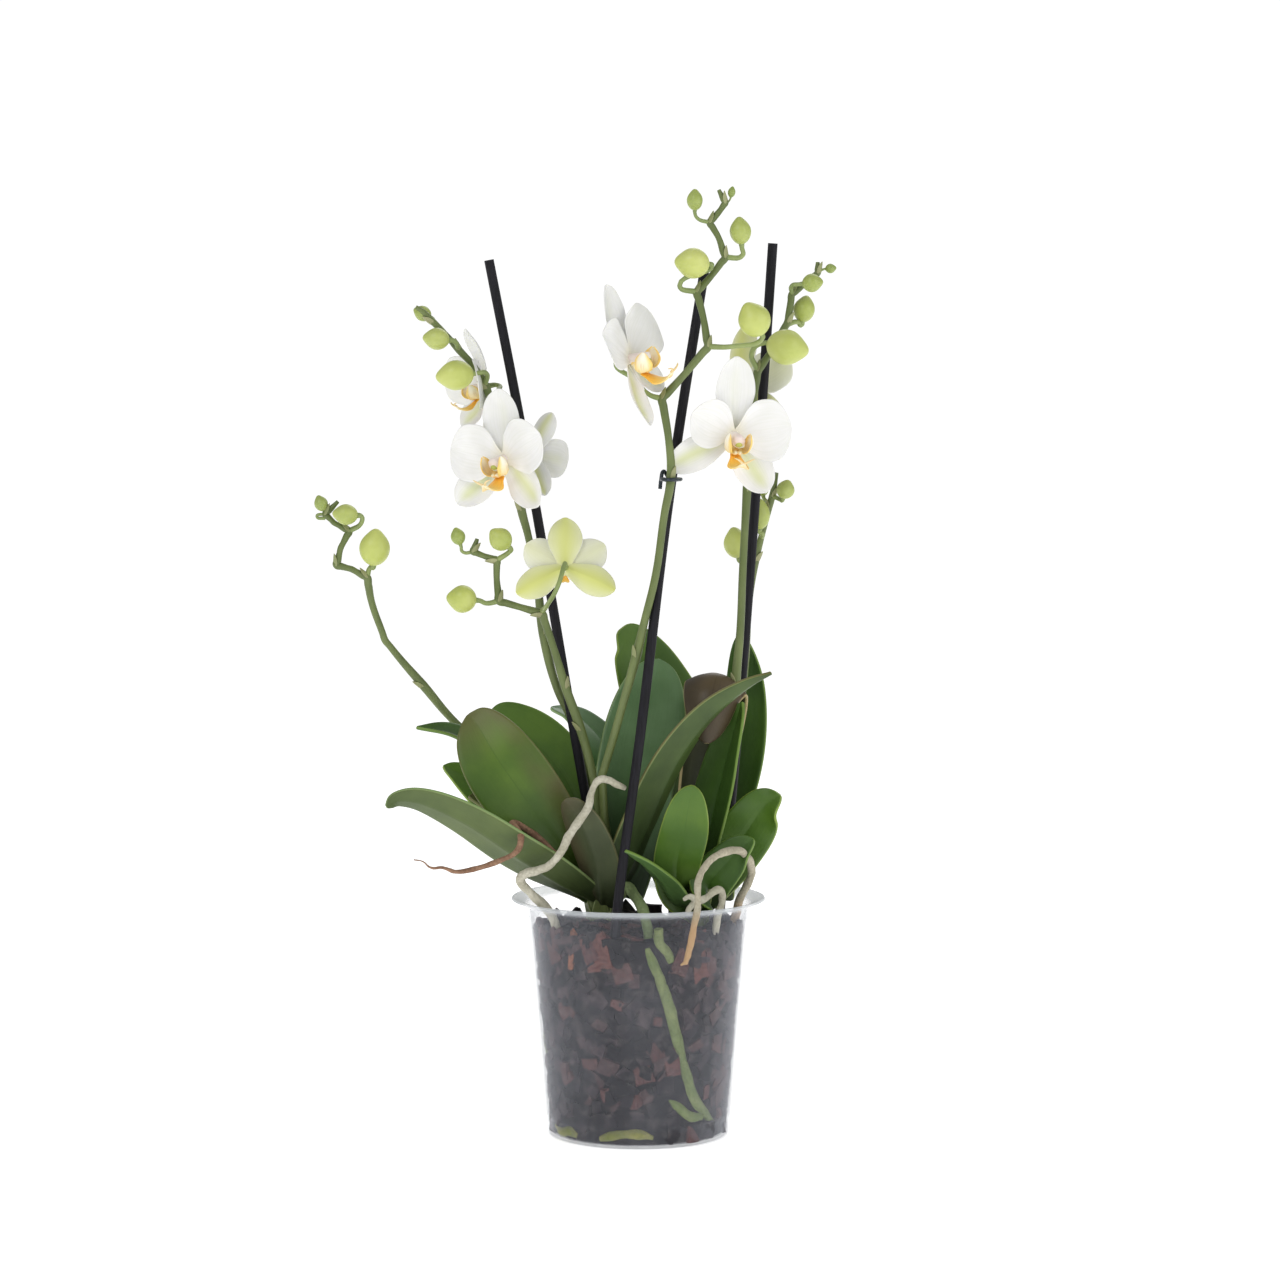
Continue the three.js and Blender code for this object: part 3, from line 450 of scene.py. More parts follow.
# the larger red chips: degrees round from the front, then height, width and length in metres, and tone
for degrees, height, width, length, tone in (
    (-24, 0.0925, 0.013, 0.0165, 0.93), (37, 0.0905, 0.0085, 0.021, 0.93), (-56, 0.0935, 0.009, 0.016, 0.86),
    (-40, 0.0925, 0.0028, 0.018, 1.0), (-9, 0.0835, 0.009, 0.009, 0.86), (25, 0.088, 0.008, 0.012, 0.85),
    (21, 0.041, 0.0075, 0.013, 0.9), (-12, 0.0685, 0.006, 0.004, 0.92), (64, 0.083, 0.012, 0.012, 0.84),
    (150, 0.09, 0.013, 0.017, 0.93), (200, 0.06, 0.011, 0.009, 0.9), (250, 0.085, 0.009, 0.016, 0.92),
    (120, 0.05, 0.009, 0.012, 0.9), (175, 0.03, 0.012, 0.008, 0.88), (225, 0.025, 0.01, 0.012, 0.86),
):
    turn = math.radians(degrees)
    reach = wall_inside(height - length / 2) - 0.0013
    out = Vector((math.sin(turn), -math.cos(turn), 0.04))
    place = (reach * math.sin(turn), -reach * math.cos(turn), height)
    size = (width, length, 0.0014)
    chips.append(lay_chip(place, out, random.uniform(-0.45, 0.45), size, tone, random.choice(chip_shapes)))
for shape in chip_shapes:
    bpy.data.objects.remove(shape)
# the fine bark under the chips, as (radius, height) in mm from its foot up
heap_profile = [(40.0, 1.8), (41.0, 3.0), (40.7, 10), (44.9, 60), (48.0, 96.0), (47.0, 97.5), (20.0, 100.0),
                (4.0, 100.6)]
heap = turned("heap", heap_profile, 48)
heap.data.attributes.new("tone", "FLOAT", "POINT")
heap.data.attributes["tone"].data.foreach_set("value", [0.08] * len(heap.data.vertices))
smooth(heap)
bark_mix = join([heap, *chips], "bark_chips")
for vertex in bark_mix.data.vertices:
    vertex.co.z = max(vertex.co.z, POT_FLOOR)
    reach, most = math.hypot(vertex.co.x, vertex.co.y), wall_inside(vertex.co.z) - WALL_GAP
    if reach > most:
        vertex.co.x *= most / reach
        vertex.co.y *= most / reach
bark_mix.data.materials.clear()
bark_mix.data.materials.append(chip_skin)
keep(bark_mix, "bark_chips", "bark", "bark_mix")


# ---- Canes -------------------------------------------------------------------------------------
# Three thin split canes dyed purple-black, pushed down to the pot's floor. They lean a little and
# have a fine lengthwise grain and a square-cut top.
def above_bark(points):
    """Places of the plants, from mm off the pot's axis and above the bark."""
    return [Vector((x * MM, y * MM, BARK_SURFACE + z * MM)) for x, y, z in points]


def rod(name, points, radii, sides=12, steps=8):
    """A round stem, root or cane through points, with its own radius in mm at each, as a mesh."""
    deselect()
    bpy.ops.curve.primitive_bezier_curve_add(location=(0, 0, 0))
    line = bpy.context.object
    line.name = name
    line.data.dimensions = "3D"
    line.data.resolution_u = steps
    line.data.bevel_depth = MM
    line.data.bevel_resolution = max(0, sides // 4 - 1)
    line.data.use_fill_caps = True
    spline = line.data.splines[0]
    spline.bezier_points.add(len(points) - 2)
    for knot, place, radius in zip(spline.bezier_points, points, radii):
        knot.co = place
        knot.handle_left_type = "AUTO"
        knot.handle_right_type = "AUTO"
        knot.radius = radius
    bpy.ops.object.convert(target="MESH")
    line = bpy.context.object
    bpy.ops.object.mode_set(mode="EDIT")
    bpy.ops.mesh.select_all(action="SELECT")
    bpy.ops.mesh.remove_doubles(threshold=1e-6)
    bpy.ops.mesh.normals_make_consistent(inside=False)
    bpy.ops.object.mode_set(mode="OBJECT")
    smooth(line, 55)
    return line


def cane_material():
    material, tree, shader = new_material("dyed_cane", 0.55, 0.25)
    grain = mottle(tree, coordinates(tree, scale=(1, 1, 0.03)), 1500, 3)
    wear = mottle(tree, coordinates(tree), 60, 4, 0.5, 0.8)
    colour = blend(tree, grain, paint("0f0e13"), paint("191820"))
    faded = arithmetic(tree, "MULTIPLY", wear, 0.35)
    tree.links.new(blend(tree, faded, colour, paint("25232b")), shader.inputs["Base Color"])
    bump(tree, shader, grain, 0.4, 0.0002)
    return material


cane_skin = cane_material()
cane_routes = {
    "left": [(-13, 12, -9), (-25.5, 8, 60), (-54, 2.4, 227), (-70, 0, 311)],
    "middle": [(-10.5, -43, 0), (-9.5, -43, 12), (0.7, -38, 89), (15.5, -30, 209), (31.2, -22, 309)],
    "right": [(38.5, 16, -4), (46, 12, 75), (56, 8, 208), (63.2, 5, 319)],
}
cane_feet = {"left": (2, 15, -97), "middle": (-25, -27, -97), "right": (30.5, 20, -97)}
cane_radius = 2.3
for side, route in cane_routes.items():
    points = above_bark([cane_feet[side], *route])
    cane = rod(f"cane_{side}", points, [cane_radius] * len(points), 16)
    cane.data.materials.append(cane_skin)
    keep(cane, f"cane_{side}", "cane", f"support_cane_{side}")


# ---- Crowns, spikes and buds -------------------------------------------------------------------
# Each plant has a short stem, and its flower spikes rise from it: green stems with a ring and a dry
# bract at each node, smooth stalks to the flowers, and fat seamed buds that shrink toward the tip.
def curve_through(points):
    """Catmull-Rom: returns place(t) and along(t) for t from 0 to 1, even in length."""
    knots = [2 * points[0] - points[1], *points, 2 * points[-1] - points[-2]]
    fine = []
    steps = 16
    for i in range(1, len(knots) - 2):
        a, b, c, d = knots[i - 1 : i + 3]
        for k in range(steps):
            u = k / steps
            square, cube = (2 * a - 5 * b + 4 * c - d) * u**2, (3 * b - a - 3 * c + d) * u**3
            fine.append(0.5 * (2 * b + (c - a) * u + square + cube))
    fine.append(points[-1].copy())
    lengths = [0.0]
    for a, b in zip(fine, fine[1:]):
        lengths.append(lengths[-1] + (b - a).length)

    def place(t):
        reach = max(0.0, min(1.0, t)) * lengths[-1]
        i = next((k for k in range(1, len(lengths)) if lengths[k] >= reach), len(lengths) - 1)
        share = (reach - lengths[i - 1]) / max(1e-9, lengths[i] - lengths[i - 1])
        return fine[i - 1].lerp(fine[i], share)

    def along(t):
        return (place(min(1, t + 0.01)) - place(max(0, t - 0.01))).normalized()

    return place, along


def share_at(outline, t):
    """The outline's value at t: (t, share) pairs joined by straight lines."""
    for (t0, a), (t1, b) in zip(outline, outline[1:]):
        if t <= t1:
            u = (t - t0) / (t1 - t0)
            return a + (b - a) * u
    return outline[-1][1]


def smooth_outline(outline, count=40):
    """The same outline with its corners rounded."""
    dense = [(k / count, share_at(outline, k / count)) for k in range(count + 1)]
    for _ in range(3):
        middle = [(b[0], (a[1] + 2 * b[1] + c[1]) / 4) for a, b, c in zip(dense, dense[1:], dense[2:])]
        dense = [dense[0], *middle, dense[-1]]
    return dense


def blade(name, points, width, outline, facing=None, across=None, thickness=1.6, fold=0.15, groove=0.5,
          cup=0.0, wave=0.0, waves=3, rows=26, columns=12, skins=()):
    """A leaf or petal in mm: a flat grid laid along its midrib, given its outline, fold and thickness.
    Its first skin is on its upper side and its second below."""
    place, along = curve_through(points)
    deselect()
    bpy.ops.mesh.primitive_grid_add(x_subdivisions=columns, y_subdivisions=rows, size=2, calc_uvs=True)
    sheet = bpy.context.object
    sheet.name = name
    for skin in skins:
        sheet.data.materials.append(skin)
    # the grid is finer toward its edges and its tip, and the groove fades toward the tip
    groove_breadth = 0.09
    for vertex in sheet.data.vertices:
        side = math.copysign(abs(vertex.co.x) ** 1.35, vertex.co.x)
        ring = (vertex.co.y + 1) / 2
        t = 1 - (1 - ring) ** 1.5
        direction = along(t)
        sideways = Vector(across) if across is not None else direction.cross(Vector(facing))
        sideways = (sideways - direction * sideways.dot(direction)).normalized()
        out = sideways.cross(direction)
        half = width / 2 * share_at(outline, t) * MM
        lift = fold * half * (math.sqrt(side * side + 0.01) - 0.1)
        lift -= groove * MM * math.exp(-((side / groove_breadth) ** 2)) * (1 - t)
        lift += cup * MM * side * side * share_at(outline, t)
        start = 1.3 if side > 0 else 0.2
        lift += wave * MM * abs(side) ** 2 * math.sin(waves * math.pi * t + start) * share_at(outline, t)
        vertex.co = place(t) + sideways * (side * half) + out * lift
    wall = sheet.modifiers.new("thickness", "SOLIDIFY")
    wall.thickness = thickness * MM
    wall.offset = 0
    wall.material_offset = 1
    finish = sheet.modifiers.new("rounding", "SUBSURF")
    finish.levels = finish.render_levels = 1
    apply_modifiers(sheet)
    bpy.ops.object.mode_set(mode="EDIT")
    bpy.ops.mesh.select_all(action="SELECT")
    bpy.ops.mesh.remove_doubles(threshold=2e-6)
    bpy.ops.object.mode_set(mode="OBJECT")
    bpy.ops.object.shade_smooth()
    return sheet


def stem_material(name, low_colour, high_colour, tinge, gloss):
    material, tree, shader = new_material(name, gloss, 0.45)
    where = coordinates(tree)
    streak = mottle(tree, coordinates(tree, scale=(1, 1, 0.12)), 420, 3)
    patch = mottle(tree, where, 45, 3)
    body = blend(tree, patch, paint(low_colour), paint(high_colour))
    streaks = arithmetic(tree, "MULTIPLY", streak, 0.3)
    tree.links.new(blend(tree, streaks, body, paint(tinge)), shader.inputs["Base Color"])
    bump(tree, shader, streak, 0.15, 0.0002)
    return material


def bud_material():
    material, tree, shader = new_material("bud_skin", 0.38, 0.5)
    shader.inputs["Subsurface Weight"].default_value = 0.12
    shader.inputs["Subsurface Radius"].default_value = (0.004, 0.004, 0.001)
    where = coordinates(tree)
    patch = mottle(tree, where, 28, 2, 0.3, 0.7)
    fine = mottle(tree, where, 500, 4)
    body = blend(tree, patch, paint("b2be5c"), paint("c8cf78"))
    ripeness = tree.nodes.new("ShaderNodeAttribute")
    ripeness.attribute_name = "ripeness"
    body = blend(tree, ripeness.outputs["Fac"], paint("8a9c50"), body)
    speck = arithmetic(tree, "MULTIPLY", fine, 0.08)
    tree.links.new(blend(tree, speck, body, paint("dbe08f")), shader.inputs["Base Color"])
    bump(tree, shader, fine, 0.12, 0.0002)
    return material


stem_skin = stem_material("spike_stem", "62703c", "727f4a", "4f5b38", 0.45)
stalk_skin = stem_material("flower_stalk", "84945a", "97a566", "6f7f4c", 0.42)
bract_skin = stem_material("dry_bract", "8a9362", "a5a77d", "7f7350", 0.6)
bud_skin = bud_material()

# one bud, 1 across and 1 long, its tip up: three sepals meet in seams at the tip
deselect()
bpy.ops.mesh.primitive_uv_sphere_add(segments=24, ring_count=14, radius=0.5)
model_bud = bpy.context.object
for vertex in model_bud.data.vertices:
    height = vertex.co.z + 0.5
    turn = math.atan2(vertex.co.y, vertex.co.x)
    seam = min(abs(math.remainder(turn - k * 2 * math.pi / 3, 2 * math.pi)) for k in range(3))
    taper = 1 + 0.06 * math.sin(math.pi * height) - 0.22 * max(0, height - 0.55) ** 1.5 * 2
    pinch = 1 - 0.07 * math.exp(-((seam / 0.16) ** 2)) * math.sin(math.pi * min(1, height * 1.1))
    vertex.co.x *= taper * pinch
    vertex.co.y *= taper * pinch
    if height > 0.9:
        vertex.co.z += 0.06 * (height - 0.9) / 0.1
finish = model_bud.modifiers.new("rounding", "SUBSURF")
finish.levels = finish.render_levels = 1
apply_modifiers(model_bud)
smooth(model_bud, 60)
model_bud.data.attributes.new("ripeness", "FLOAT", "POINT")


def set_bud(centre, toward, length, width, ripeness):
    copy = bpy.data.objects.new("bud", model_bud.data.copy())
    bpy.context.scene.collection.objects.link(copy)
    turn = Vector(toward).to_track_quat("Z", "Y").to_matrix().to_4x4()
    place = Matrix.Translation(above_bark([centre])[0])
    copy.data.transform(place @ turn @ Matrix.Diagonal((width * MM, width * MM, length * MM, 1)))
    copy.data.attributes["ripeness"].data.foreach_set("value", [ripeness] * len(copy.data.vertices))
    return copy


# each flower: its place above the bark in mm, the way it looks, the way of its dorsal sepal and its size
flowers = {
    "side": ((-73, 10, 252), (-0.91, -0.38, -0.1), (0.15, 0, 1), 0.9),
    "left": ((-62, -20, 218), (-0.5, -0.86, -0.05), (-0.05, 0, 1), 1.0),
    "back_left": ((-50, 17, 220), (0.6, 0.78, -0.1), (0.5, 0, 0.9), 0.7),
    "turned_away": ((-34, -27, 168), (0, 0.93, -0.3), (0, 0.2, 1), 0.85),
    "top": ((-4.5, -43, 264), (0.82, -0.5, 0.22), (-0.42, -0.1, 0.92), 1.0),
    "right": ((44, -27, 229), (0.25, -0.95, -0.1), (0.05, 0, 1), 1.0),
    "back_right": ((50, 18, 251), (0.62, 0.75, -0.1), (-0.25, 0, 1), 0.9),
}


def flower_frame(name):
    """The matrix from a flower's own mm (x aside, y toward its dorsal sepal, z out of its face)."""
    at, facing, up, size = flowers[name]
    out = Vector(facing).normalized()
    side = Vector(up).cross(out).normalized()
    top = out.cross(side)
    turn = Matrix((side, top, out)).transposed().to_4x4()
    return Matrix.Translation(above_bark([at])[0]) @ turn @ Matrix.Scale(size * MM, 4)


# each spike: its stem's line in mm, which of its points carry a ring and a bract, the first places of the
# stalks to its flowers, and its buds as (stalk, middle, the way it points, length, width)
spikes = {
    "far_left": {
        "stem": [(-20, 2, 10), (-33, 11, 37), (-53, 18, 60), (-73, 18, 79), (-89, 16, 94), (-102, 12, 110),
                 (-113, 10, 123), (-120, 8, 132), (-126, 5, 150), (-128, 2, 162), (-135, 0, 166),
                 (-142, -1, 168), (-140, -2, 176), (-136, -2, 184), (-143, -3, 188), (-147, -3, 192),
                 (-141, -3, 198)],
        "nodes": [5, 9, 11, 13, 15],
        "carries": {},
        "buds": [
            ([(-128, 2, 162), (-126, 1, 167)], (-124, -2, 176), (0.1, -0.2, 1), 17, 14),
            ([(-136, -2, 184), (-130, -5, 188)], (-137, -8, 192), (-1, -0.2, 0.1), 11.5, 9.5),
            ([(-147, -3, 190), (-151, -3, 191)], (-149, -3, 197), (-0.4, 0, 1), 7.5, 6.2),
        ],
    },
    "left": {
        "stem": [(-17, 5, 12), (-22, 14, 56), (-32, 13, 94), (-39, 11, 110), (-45, 9, 135), (-48, 6, 161),
                 (-52, 2, 182), (-55, -1, 194), (-57, -3, 207), (-63, -5, 227), (-69, -5, 244),
                 (-71, -5, 251), (-76, -5, 260), (-84, -5, 269), (-90, -5, 276), (-96, -5, 282),
                 (-101, -5, 287), (-104, -5, 289)],
        "nodes": [1, 4, 7, 9, 11, 13, 15],
        "carries": {
            "side": [(-70, -5, 246), (-66, 3, 250)],
            "left": [(-59, -4, 213), (-55, -9, 217)],
            "back_left": [(-56, -3, 200), (-53, 5, 206), (-54, 8, 214)],
        },
        "buds": [
            ([(-72, -5, 252), (-71, -10, 258)], (-85, -14, 257), (-1, -0.1, -0.1), 17, 13.5),
            ([(-84, -5, 269), (-86, -9, 273)], (-94, -10, 274), (-1, -0.1, 0.1), 12, 10),
            ([(-96, -5, 282)], (-101, -2, 286), (-1, 0, 0.5), 8.5, 7),
        ],
    },
    "front_left": {
        "stem": [(-18, -4, 11), (-18.5, -7, 28), (-18, -7, 43), (-21, -8, 67), (-27, -10, 91),
                 (-34, -13, 111), (-40, -15, 131), (-45, -16, 146), (-55, -17, 149), (-65, -18, 152),
                 (-66, -18, 162), (-66, -18, 171), (-72, -18, 173), (-77, -18, 175), (-75, -18, 181)],
        "nodes": [4, 5, 7, 9, 11, 13],
        "carries": {"turned_away": [(-45, -16, 147), (-42, -30, 151), (-37, -39, 160)]},
        "buds": [
            ([(-65, -18, 152), (-71, -19, 151)], (-82, -20, 153), (-1, -0.1, 0.1), 13.5, 12.6),
            ([(-66, -18, 171), (-60, -21, 175)], (-64, -24, 181), (-0.5, -0.2, 0.5), 11.5, 10.3),
            ([(-76, -18, 175), (-82, -18, 175)], (-84, -18, 182), (-0.3, 0, 1), 8, 6.6),
        ],
    },
    "centre": {
        "stem": [(-12, -3, 10), (-11, -12, 28), (-15, -16, 44), (-17, -20, 70), (-12, -24, 87),
                 (-7, -28, 105), (-1, -33, 127), (3, -36, 144), (8, -38.5, 165), (12, -39, 193),
                 (15, -39, 210), (14, -39, 227), (11, -38, 246), (21, -37, 257), (32, -35, 270),
                 (30, -33, 283), (27, -32, 295), (34, -31, 303), (40, -30, 311), (37, -30, 320),
                 (33, -30, 327), (38, -30, 333), (40, -30, 336), (37, -30, 342)],
        "nodes": [6, 10, 12, 14, 16, 18, 20, 22],
        "carries": {"top": [(11, -38, 246), (5, -38, 248), (-2, -37, 255)]},
        "buds": [
            ([(27, -32, 295), (19, -36, 298)], (25, -40, 308), (-1, -0.2, 0.1), 15.5, 13.6),
            ([(40, -30, 311), (48, -30, 312)], (47, -30, 323), (-0.1, -0.1, 1), 12.2, 9.6),
            ([(33, -30, 327), (27, -33, 329)], (26, -34, 337), (0, -0.1, 1), 9.4, 7.2),
            ([(40, -30, 335)], (43, -28, 341), (0.2, 0, 1), 5, 3.4),
            ([(32, -35, 270), (43, -40, 270)], (53, -44, 282), (-0.5, -0.3, 1), 16, 14.6),
        ],
    },
    "right": {
        "stem": [(30, 0, 11), (38, 4, 47), (46, 3, 85), (46, 0, 112), (48, -2, 137), (49, -4, 164),
                 (50, -4, 185), (51, -3, 203), (52, -1, 227), (54, -2, 246), (56, -4, 259), (62, -3, 268),
                 (70, -2, 282), (72, -2, 295), (77, -2, 299), (84, -2, 305), (84, -2, 310)],
        "nodes": [3, 7, 10, 12, 13, 15],
        "carries": {"right": [(52, -1, 224), (48, -10, 229)], "back_right": [(53, -2, 242), (51, 6, 248)]},
        "buds": [
            ([(56, -4, 259), (53, -9, 268)], (69, -14, 270), (1, -0.1, -0.2), 19, 16),
            ([(70, -2, 281), (75, 2, 282)], (78, 4, 288), (0.2, 0.1, 1), 12.2, 10),
            ([(72, -2, 295), (72, -8, 299)], (81, -10, 300), (1, -0.1, 0.1), 9.4, 8.4),
            ([(84, -2, 305)], (90, -2, 307), (1, 0, 0.1), 5, 4.4),
        ],
    },
    "back_right": {
        "stem": [(27, 5, 10), (33, 14, 28), (39, 20, 46), (47, 23, 84), (51, 25, 122), (53, 26, 150),
                 (56, 27, 169), (59, 27, 181), (62, 27, 193), (64, 26, 200), (66, 24, 211)],
        "nodes": [4, 6, 8, 9],
        "carries": {},
        "buds": [
            ([(56, 27, 168), (51, 29, 169)], (47, 30, 177), (-0.2, 0.1, 1), 14.6, 12),
            ([(59, 27, 180), (59, 23, 182)], (58, 22, 191), (0, -0.1, 1), 14, 9.5),
            ([(63, 27, 196)], (59, 31, 204), (-0.2, 0.3, 1), 9, 7.5),
            ([(64, 26, 200), (68, 22, 198)], (70, 20, 203), (0.3, -0.2, 1), 9, 8.5),
        ],
    },
}


def kinked(points, radii):
    """The same line held straight between its sharper bends, as a spike is between its nodes."""
    sharp, near, most = 0.24, 0.0035, 0.3
    line, thick = [points[0]], [radii[0]]
    for before, here, after, radius in zip(points, points[1:], points[2:], radii[1:]):
        came, goes = here - before, after - here
        if came.angle(goes) > sharp:
            line += [here - came * min(most, near / came.length), here]
            line.append(here + goes * min(most, near / goes.length))
            thick += [radius * 0.96, radius, radius * 0.96]
        else:
            line.append(here)
            thick.append(radius)
    return [*line, points[-1]], [*thick, radii[-1]]


# a stem is 2.1 mm in radius at its foot, narrows by two fifths to its tip, and swells at each ring
bract_outline = smooth_outline([(0, 0.9), (0.3, 1.0), (0.7, 0.7), (1, 0.06)])
stem_radius, narrowing, ring_swell = 2.1, 0.4, 1.22
for spike_name, spike in spikes.items():
    line = spike["stem"]
    count = len(line)
    points, radii = [], []
    for i, point in enumerate(line):
        radius = stem_radius * (1 - narrowing * i / (count - 1))
        points.append(point)
        radii.append(radius * (ring_swell if i in spike["nodes"] else 1.0))
    radii[-1] = 0.9
    stem = rod("stem", *kinked(above_bark(points), radii), 16)
    stem.data.materials.append(stem_skin)
    parts = [stem]
    for order, i in enumerate(spike["nodes"]):
        here, after = Vector(line[i]), Vector(line[min(i + 1, count - 1)])
        up = (after - here).normalized()
        aside = up.cross(Vector((0, -1, 0.15))).normalized() * (1 if order % 2 else -1)
        away = (aside * 0.75 + Vector((0, -0.5, 0))).normalized()
        reach = radii[i]
        route = [here - up * 0.6 + away * reach * 0.85, here + up * 2.4 + away * (reach + 0.35)]
        route.append(here + up * 5.2 + away * (reach + 0.9))
        bract = blade("bract", above_bark(route), 4.6, bract_outline, facing=away, thickness=0.35,
                      fold=-0.45, groove=0, rows=6, columns=5, skins=(bract_skin, bract_skin))
        parts.append(bract)
    for flower_name, stalk in spike["carries"].items():
        to_flower = flower_frame(flower_name)
        ends = [to_flower @ Vector((0, 0, -7.0)), to_flower @ Vector((0, 0, -2.6)),
                to_flower @ Vector((0, 0, 0.2))]
        route = [*above_bark(stalk), *ends]
        stalk_radii = [1.45] + [1.1] * (len(route) - 4) + [1.15, 1.5, 1.9]
        part = rod("stalk", route, stalk_radii[: len(route)], 12)
        part.data.materials.append(stalk_skin)
        parts.append(part)
    buds = []
    for stalk, centre, toward, length, width in spike["buds"]:
        tip = Vector(toward).normalized()
        base = Vector(centre) - tip * length * 0.42
        neck = base - tip * min(2.5, length * 0.2)
        route = [*stalk, tuple(neck), tuple(base)]
        route = [p for k, p in enumerate(route) if k == 0 or (Vector(p) - Vector(route[k - 1])).length > 0.8]
        thick = min(1.15, width * 0.12)
        part = rod("stalk", above_bark(route), [thick * 1.2] + [thick] * (len(route) - 2) + [thick * 1.3], 12)
        part.data.materials.append(stalk_skin)
        parts.append(part)
        buds.append(set_bud(centre, toward, length, width, min(1.0, max(0.0, (width - 5) / 8))))
    spike_piece = join(parts, f"spike_{spike_name}")
    keep(spike_piece, f"spike_{spike_name}", "stem", f"flower_spike_{spike_name}")
    bud_piece = join(buds, f"buds_{spike_name}")
    bud_piece.data.materials.append(bud_skin)
    keep(bud_piece, f"buds_{spike_name}", "stem", f"flower_spike_{spike_name}")
bpy.data.objects.remove(model_bud)

# the two short stems, each in five leaf sheaths that spread upward: (reach, height) in mm
sheath_count = 5
sheath_outline = smooth_outline([(0, 1.0), (0.4, 0.95), (0.75, 0.6), (1, 0.1)])
sheath_line = ((3.6, -7), (6.6, 2), (9.6, 12), (15.0, 24))
crowns = {
    "left": [(-19, -2, -16), (-18, 0, 4), (-17.5, 1.5, 12), (-17, 2, 17)],
    "right": [(27, 1, -16), (27, 1, 4), (27, 0.5, 12), (27, 0, 17)],
}
for side, route in crowns.items():
    crown = rod(f"crown_{side}", above_bark(route), [5.2, 5.6, 5.0, 4.2], 20)
    crown.data.materials.append(stem_skin)
    parts = [crown]
    centre = Vector(route[1])
    for i in range(sheath_count):
        turn = 2 * math.pi * (i + (0.25 if side == "left" else 0.6)) / sheath_count
        out = Vector((math.cos(turn), math.sin(turn), 0))
        line = [centre + out * reach + Vector((0, 0, height)) for reach, height in sheath_line]
        parts.append(blade("sheath", above_bark(line), 14, sheath_outline, facing=-out, thickness=0.9,
                           fold=0.55, groove=0, rows=12, columns=8, skins=(stalk_skin, stem_skin)))
    keep(join(parts, f"{side}_crown"), f"{side}_crown", "stem", f"crown_{side}")


# ---- Flowers -----------------------------------------------------------------------------------
# White moth-orchid flowers: a dorsal and two lateral sepals behind two broad petals, and in front of
# them the column over a small orange lip. No two flowers open alike, but all have the same lip.
def petal_material(name, centre_green, back=False, green_from=0.05, green_to=0.85, breadth=0.3):
    """White with fine veins along it and a greenish band down its middle."""
    material, tree, shader = new_material(name, 0.55, 0.3)
    shader.inputs["Subsurface Weight"].default_value = 0.15
    shader.inputs["Subsurface Radius"].default_value = (0.004, 0.004, 0.003)
    split = tree.nodes.new("ShaderNodeSeparateXYZ")
    tree.links.new(coordinates(tree, "UV"), split.inputs["Vector"])
    across = arithmetic(tree, "ABSOLUTE", arithmetic(tree, "SUBTRACT", split.outputs["X"], 0.5))
    middle = stretch(tree, across, breadth, 0.03)
    start = stretch(tree, split.outputs["Y"], 0.0, green_from + 0.12)
    end = stretch(tree, split.outputs["Y"], green_to, green_to - 0.35)
    band = arithmetic(tree, "MULTIPLY", arithmetic(tree, "MULTIPLY", middle, start), end)
    band = arithmetic(tree, "MULTIPLY", band, centre_green)
    veins = mottle(tree, coordinates(tree, "UV", (26, 1.6, 1)), 1.0, 4, 0.4, 0.68)
    patch = mottle(tree, coordinates(tree), 60, 3)
    white = blend(tree, patch, paint("e9e9e7"), paint("f2f2f1"))
    veined = blend(tree, arithmetic(tree, "MULTIPLY", veins, 0.28), white, paint("dbddd3"))
    throat = stretch(tree, split.outputs["Y"], 0.2, 0.0)
    warm = blend(tree, arithmetic(tree, "MULTIPLY", throat, 0.45), veined, paint("f1ebc6"))
    green = paint("d2d680") if back else paint("d3da8c")
    tree.links.new(blend(tree, band, warm, green), shader.inputs["Base Color"])
    bump(tree, shader, veins, 0.04, 0.0002)
    return material


petal_outline = smooth_outline([(0, 0.2), (0.1, 0.34), (0.25, 0.72), (0.42, 0.96), (0.55, 1.0), (0.7, 0.97),
                                (0.82, 0.84), (0.92, 0.58), (0.97, 0.36), (1, 0.1)])
sepal_outline = smooth_outline([(0, 0.36), (0.15, 0.55), (0.35, 0.85), (0.52, 1.0), (0.68, 0.95),
                                (0.82, 0.8), (0.92, 0.58), (0.97, 0.38), (1, 0.1)])
petal_skins = {
    "open": {
        "petal": (petal_material("petal_white", 0.0), petal_material("petal_reverse", 0.2, True)),
        "sepal": (petal_material("sepal_white", 0.6, False, 0.1, 0.95, 0.4),
                  petal_material("sepal_reverse", 0.75, True, 0.0, 1.1, 0.4)),
        "dorsal": (petal_material("dorsal_white", 0.1),
                   petal_material("dorsal_reverse", 0.6, True, 0.0, 1.1, 0.4)),
    },
    "young": {
        "petal": (petal_material("young_petal", 0.15),
                  petal_material("young_petal_reverse", 0.5, True, -0.1, 1.5, 0.9)),
        "sepal": (petal_material("young_sepal", 0.7, False, 0.1, 0.95, 0.4),
                  petal_material("young_sepal_reverse", 1.0, True, -0.1, 1.6, 1.1)),
        "dorsal": (petal_material("young_dorsal", 0.3),
                   petal_material("young_dorsal_reverse", 0.95, True, -0.1, 1.7, 1.1)),
    },
}
column_skin = stem_material("column_white", "eee9e4", "f0dfd9", "e8d9c8", 0.5)
tendril_skin = stem_material("lip_tendril", "eed49a", "f2dfb2", "e2b968", 0.5)
pollen_green = stem_material("column_spot", "a9b84a", "c2c86a", "8d9a35", 0.5)


def in_flower(points):
    """Places in a flower's own frame, from mm round its middle."""
    return [Vector(p) * MM for p in points]


def flower_blade(points, width, outline, across, skins, **shape):
    """A petal in its flower's own frame, at full size round the origin."""
    return blade("petal", in_flower(points), width, outline, across=across, skins=skins, **shape)


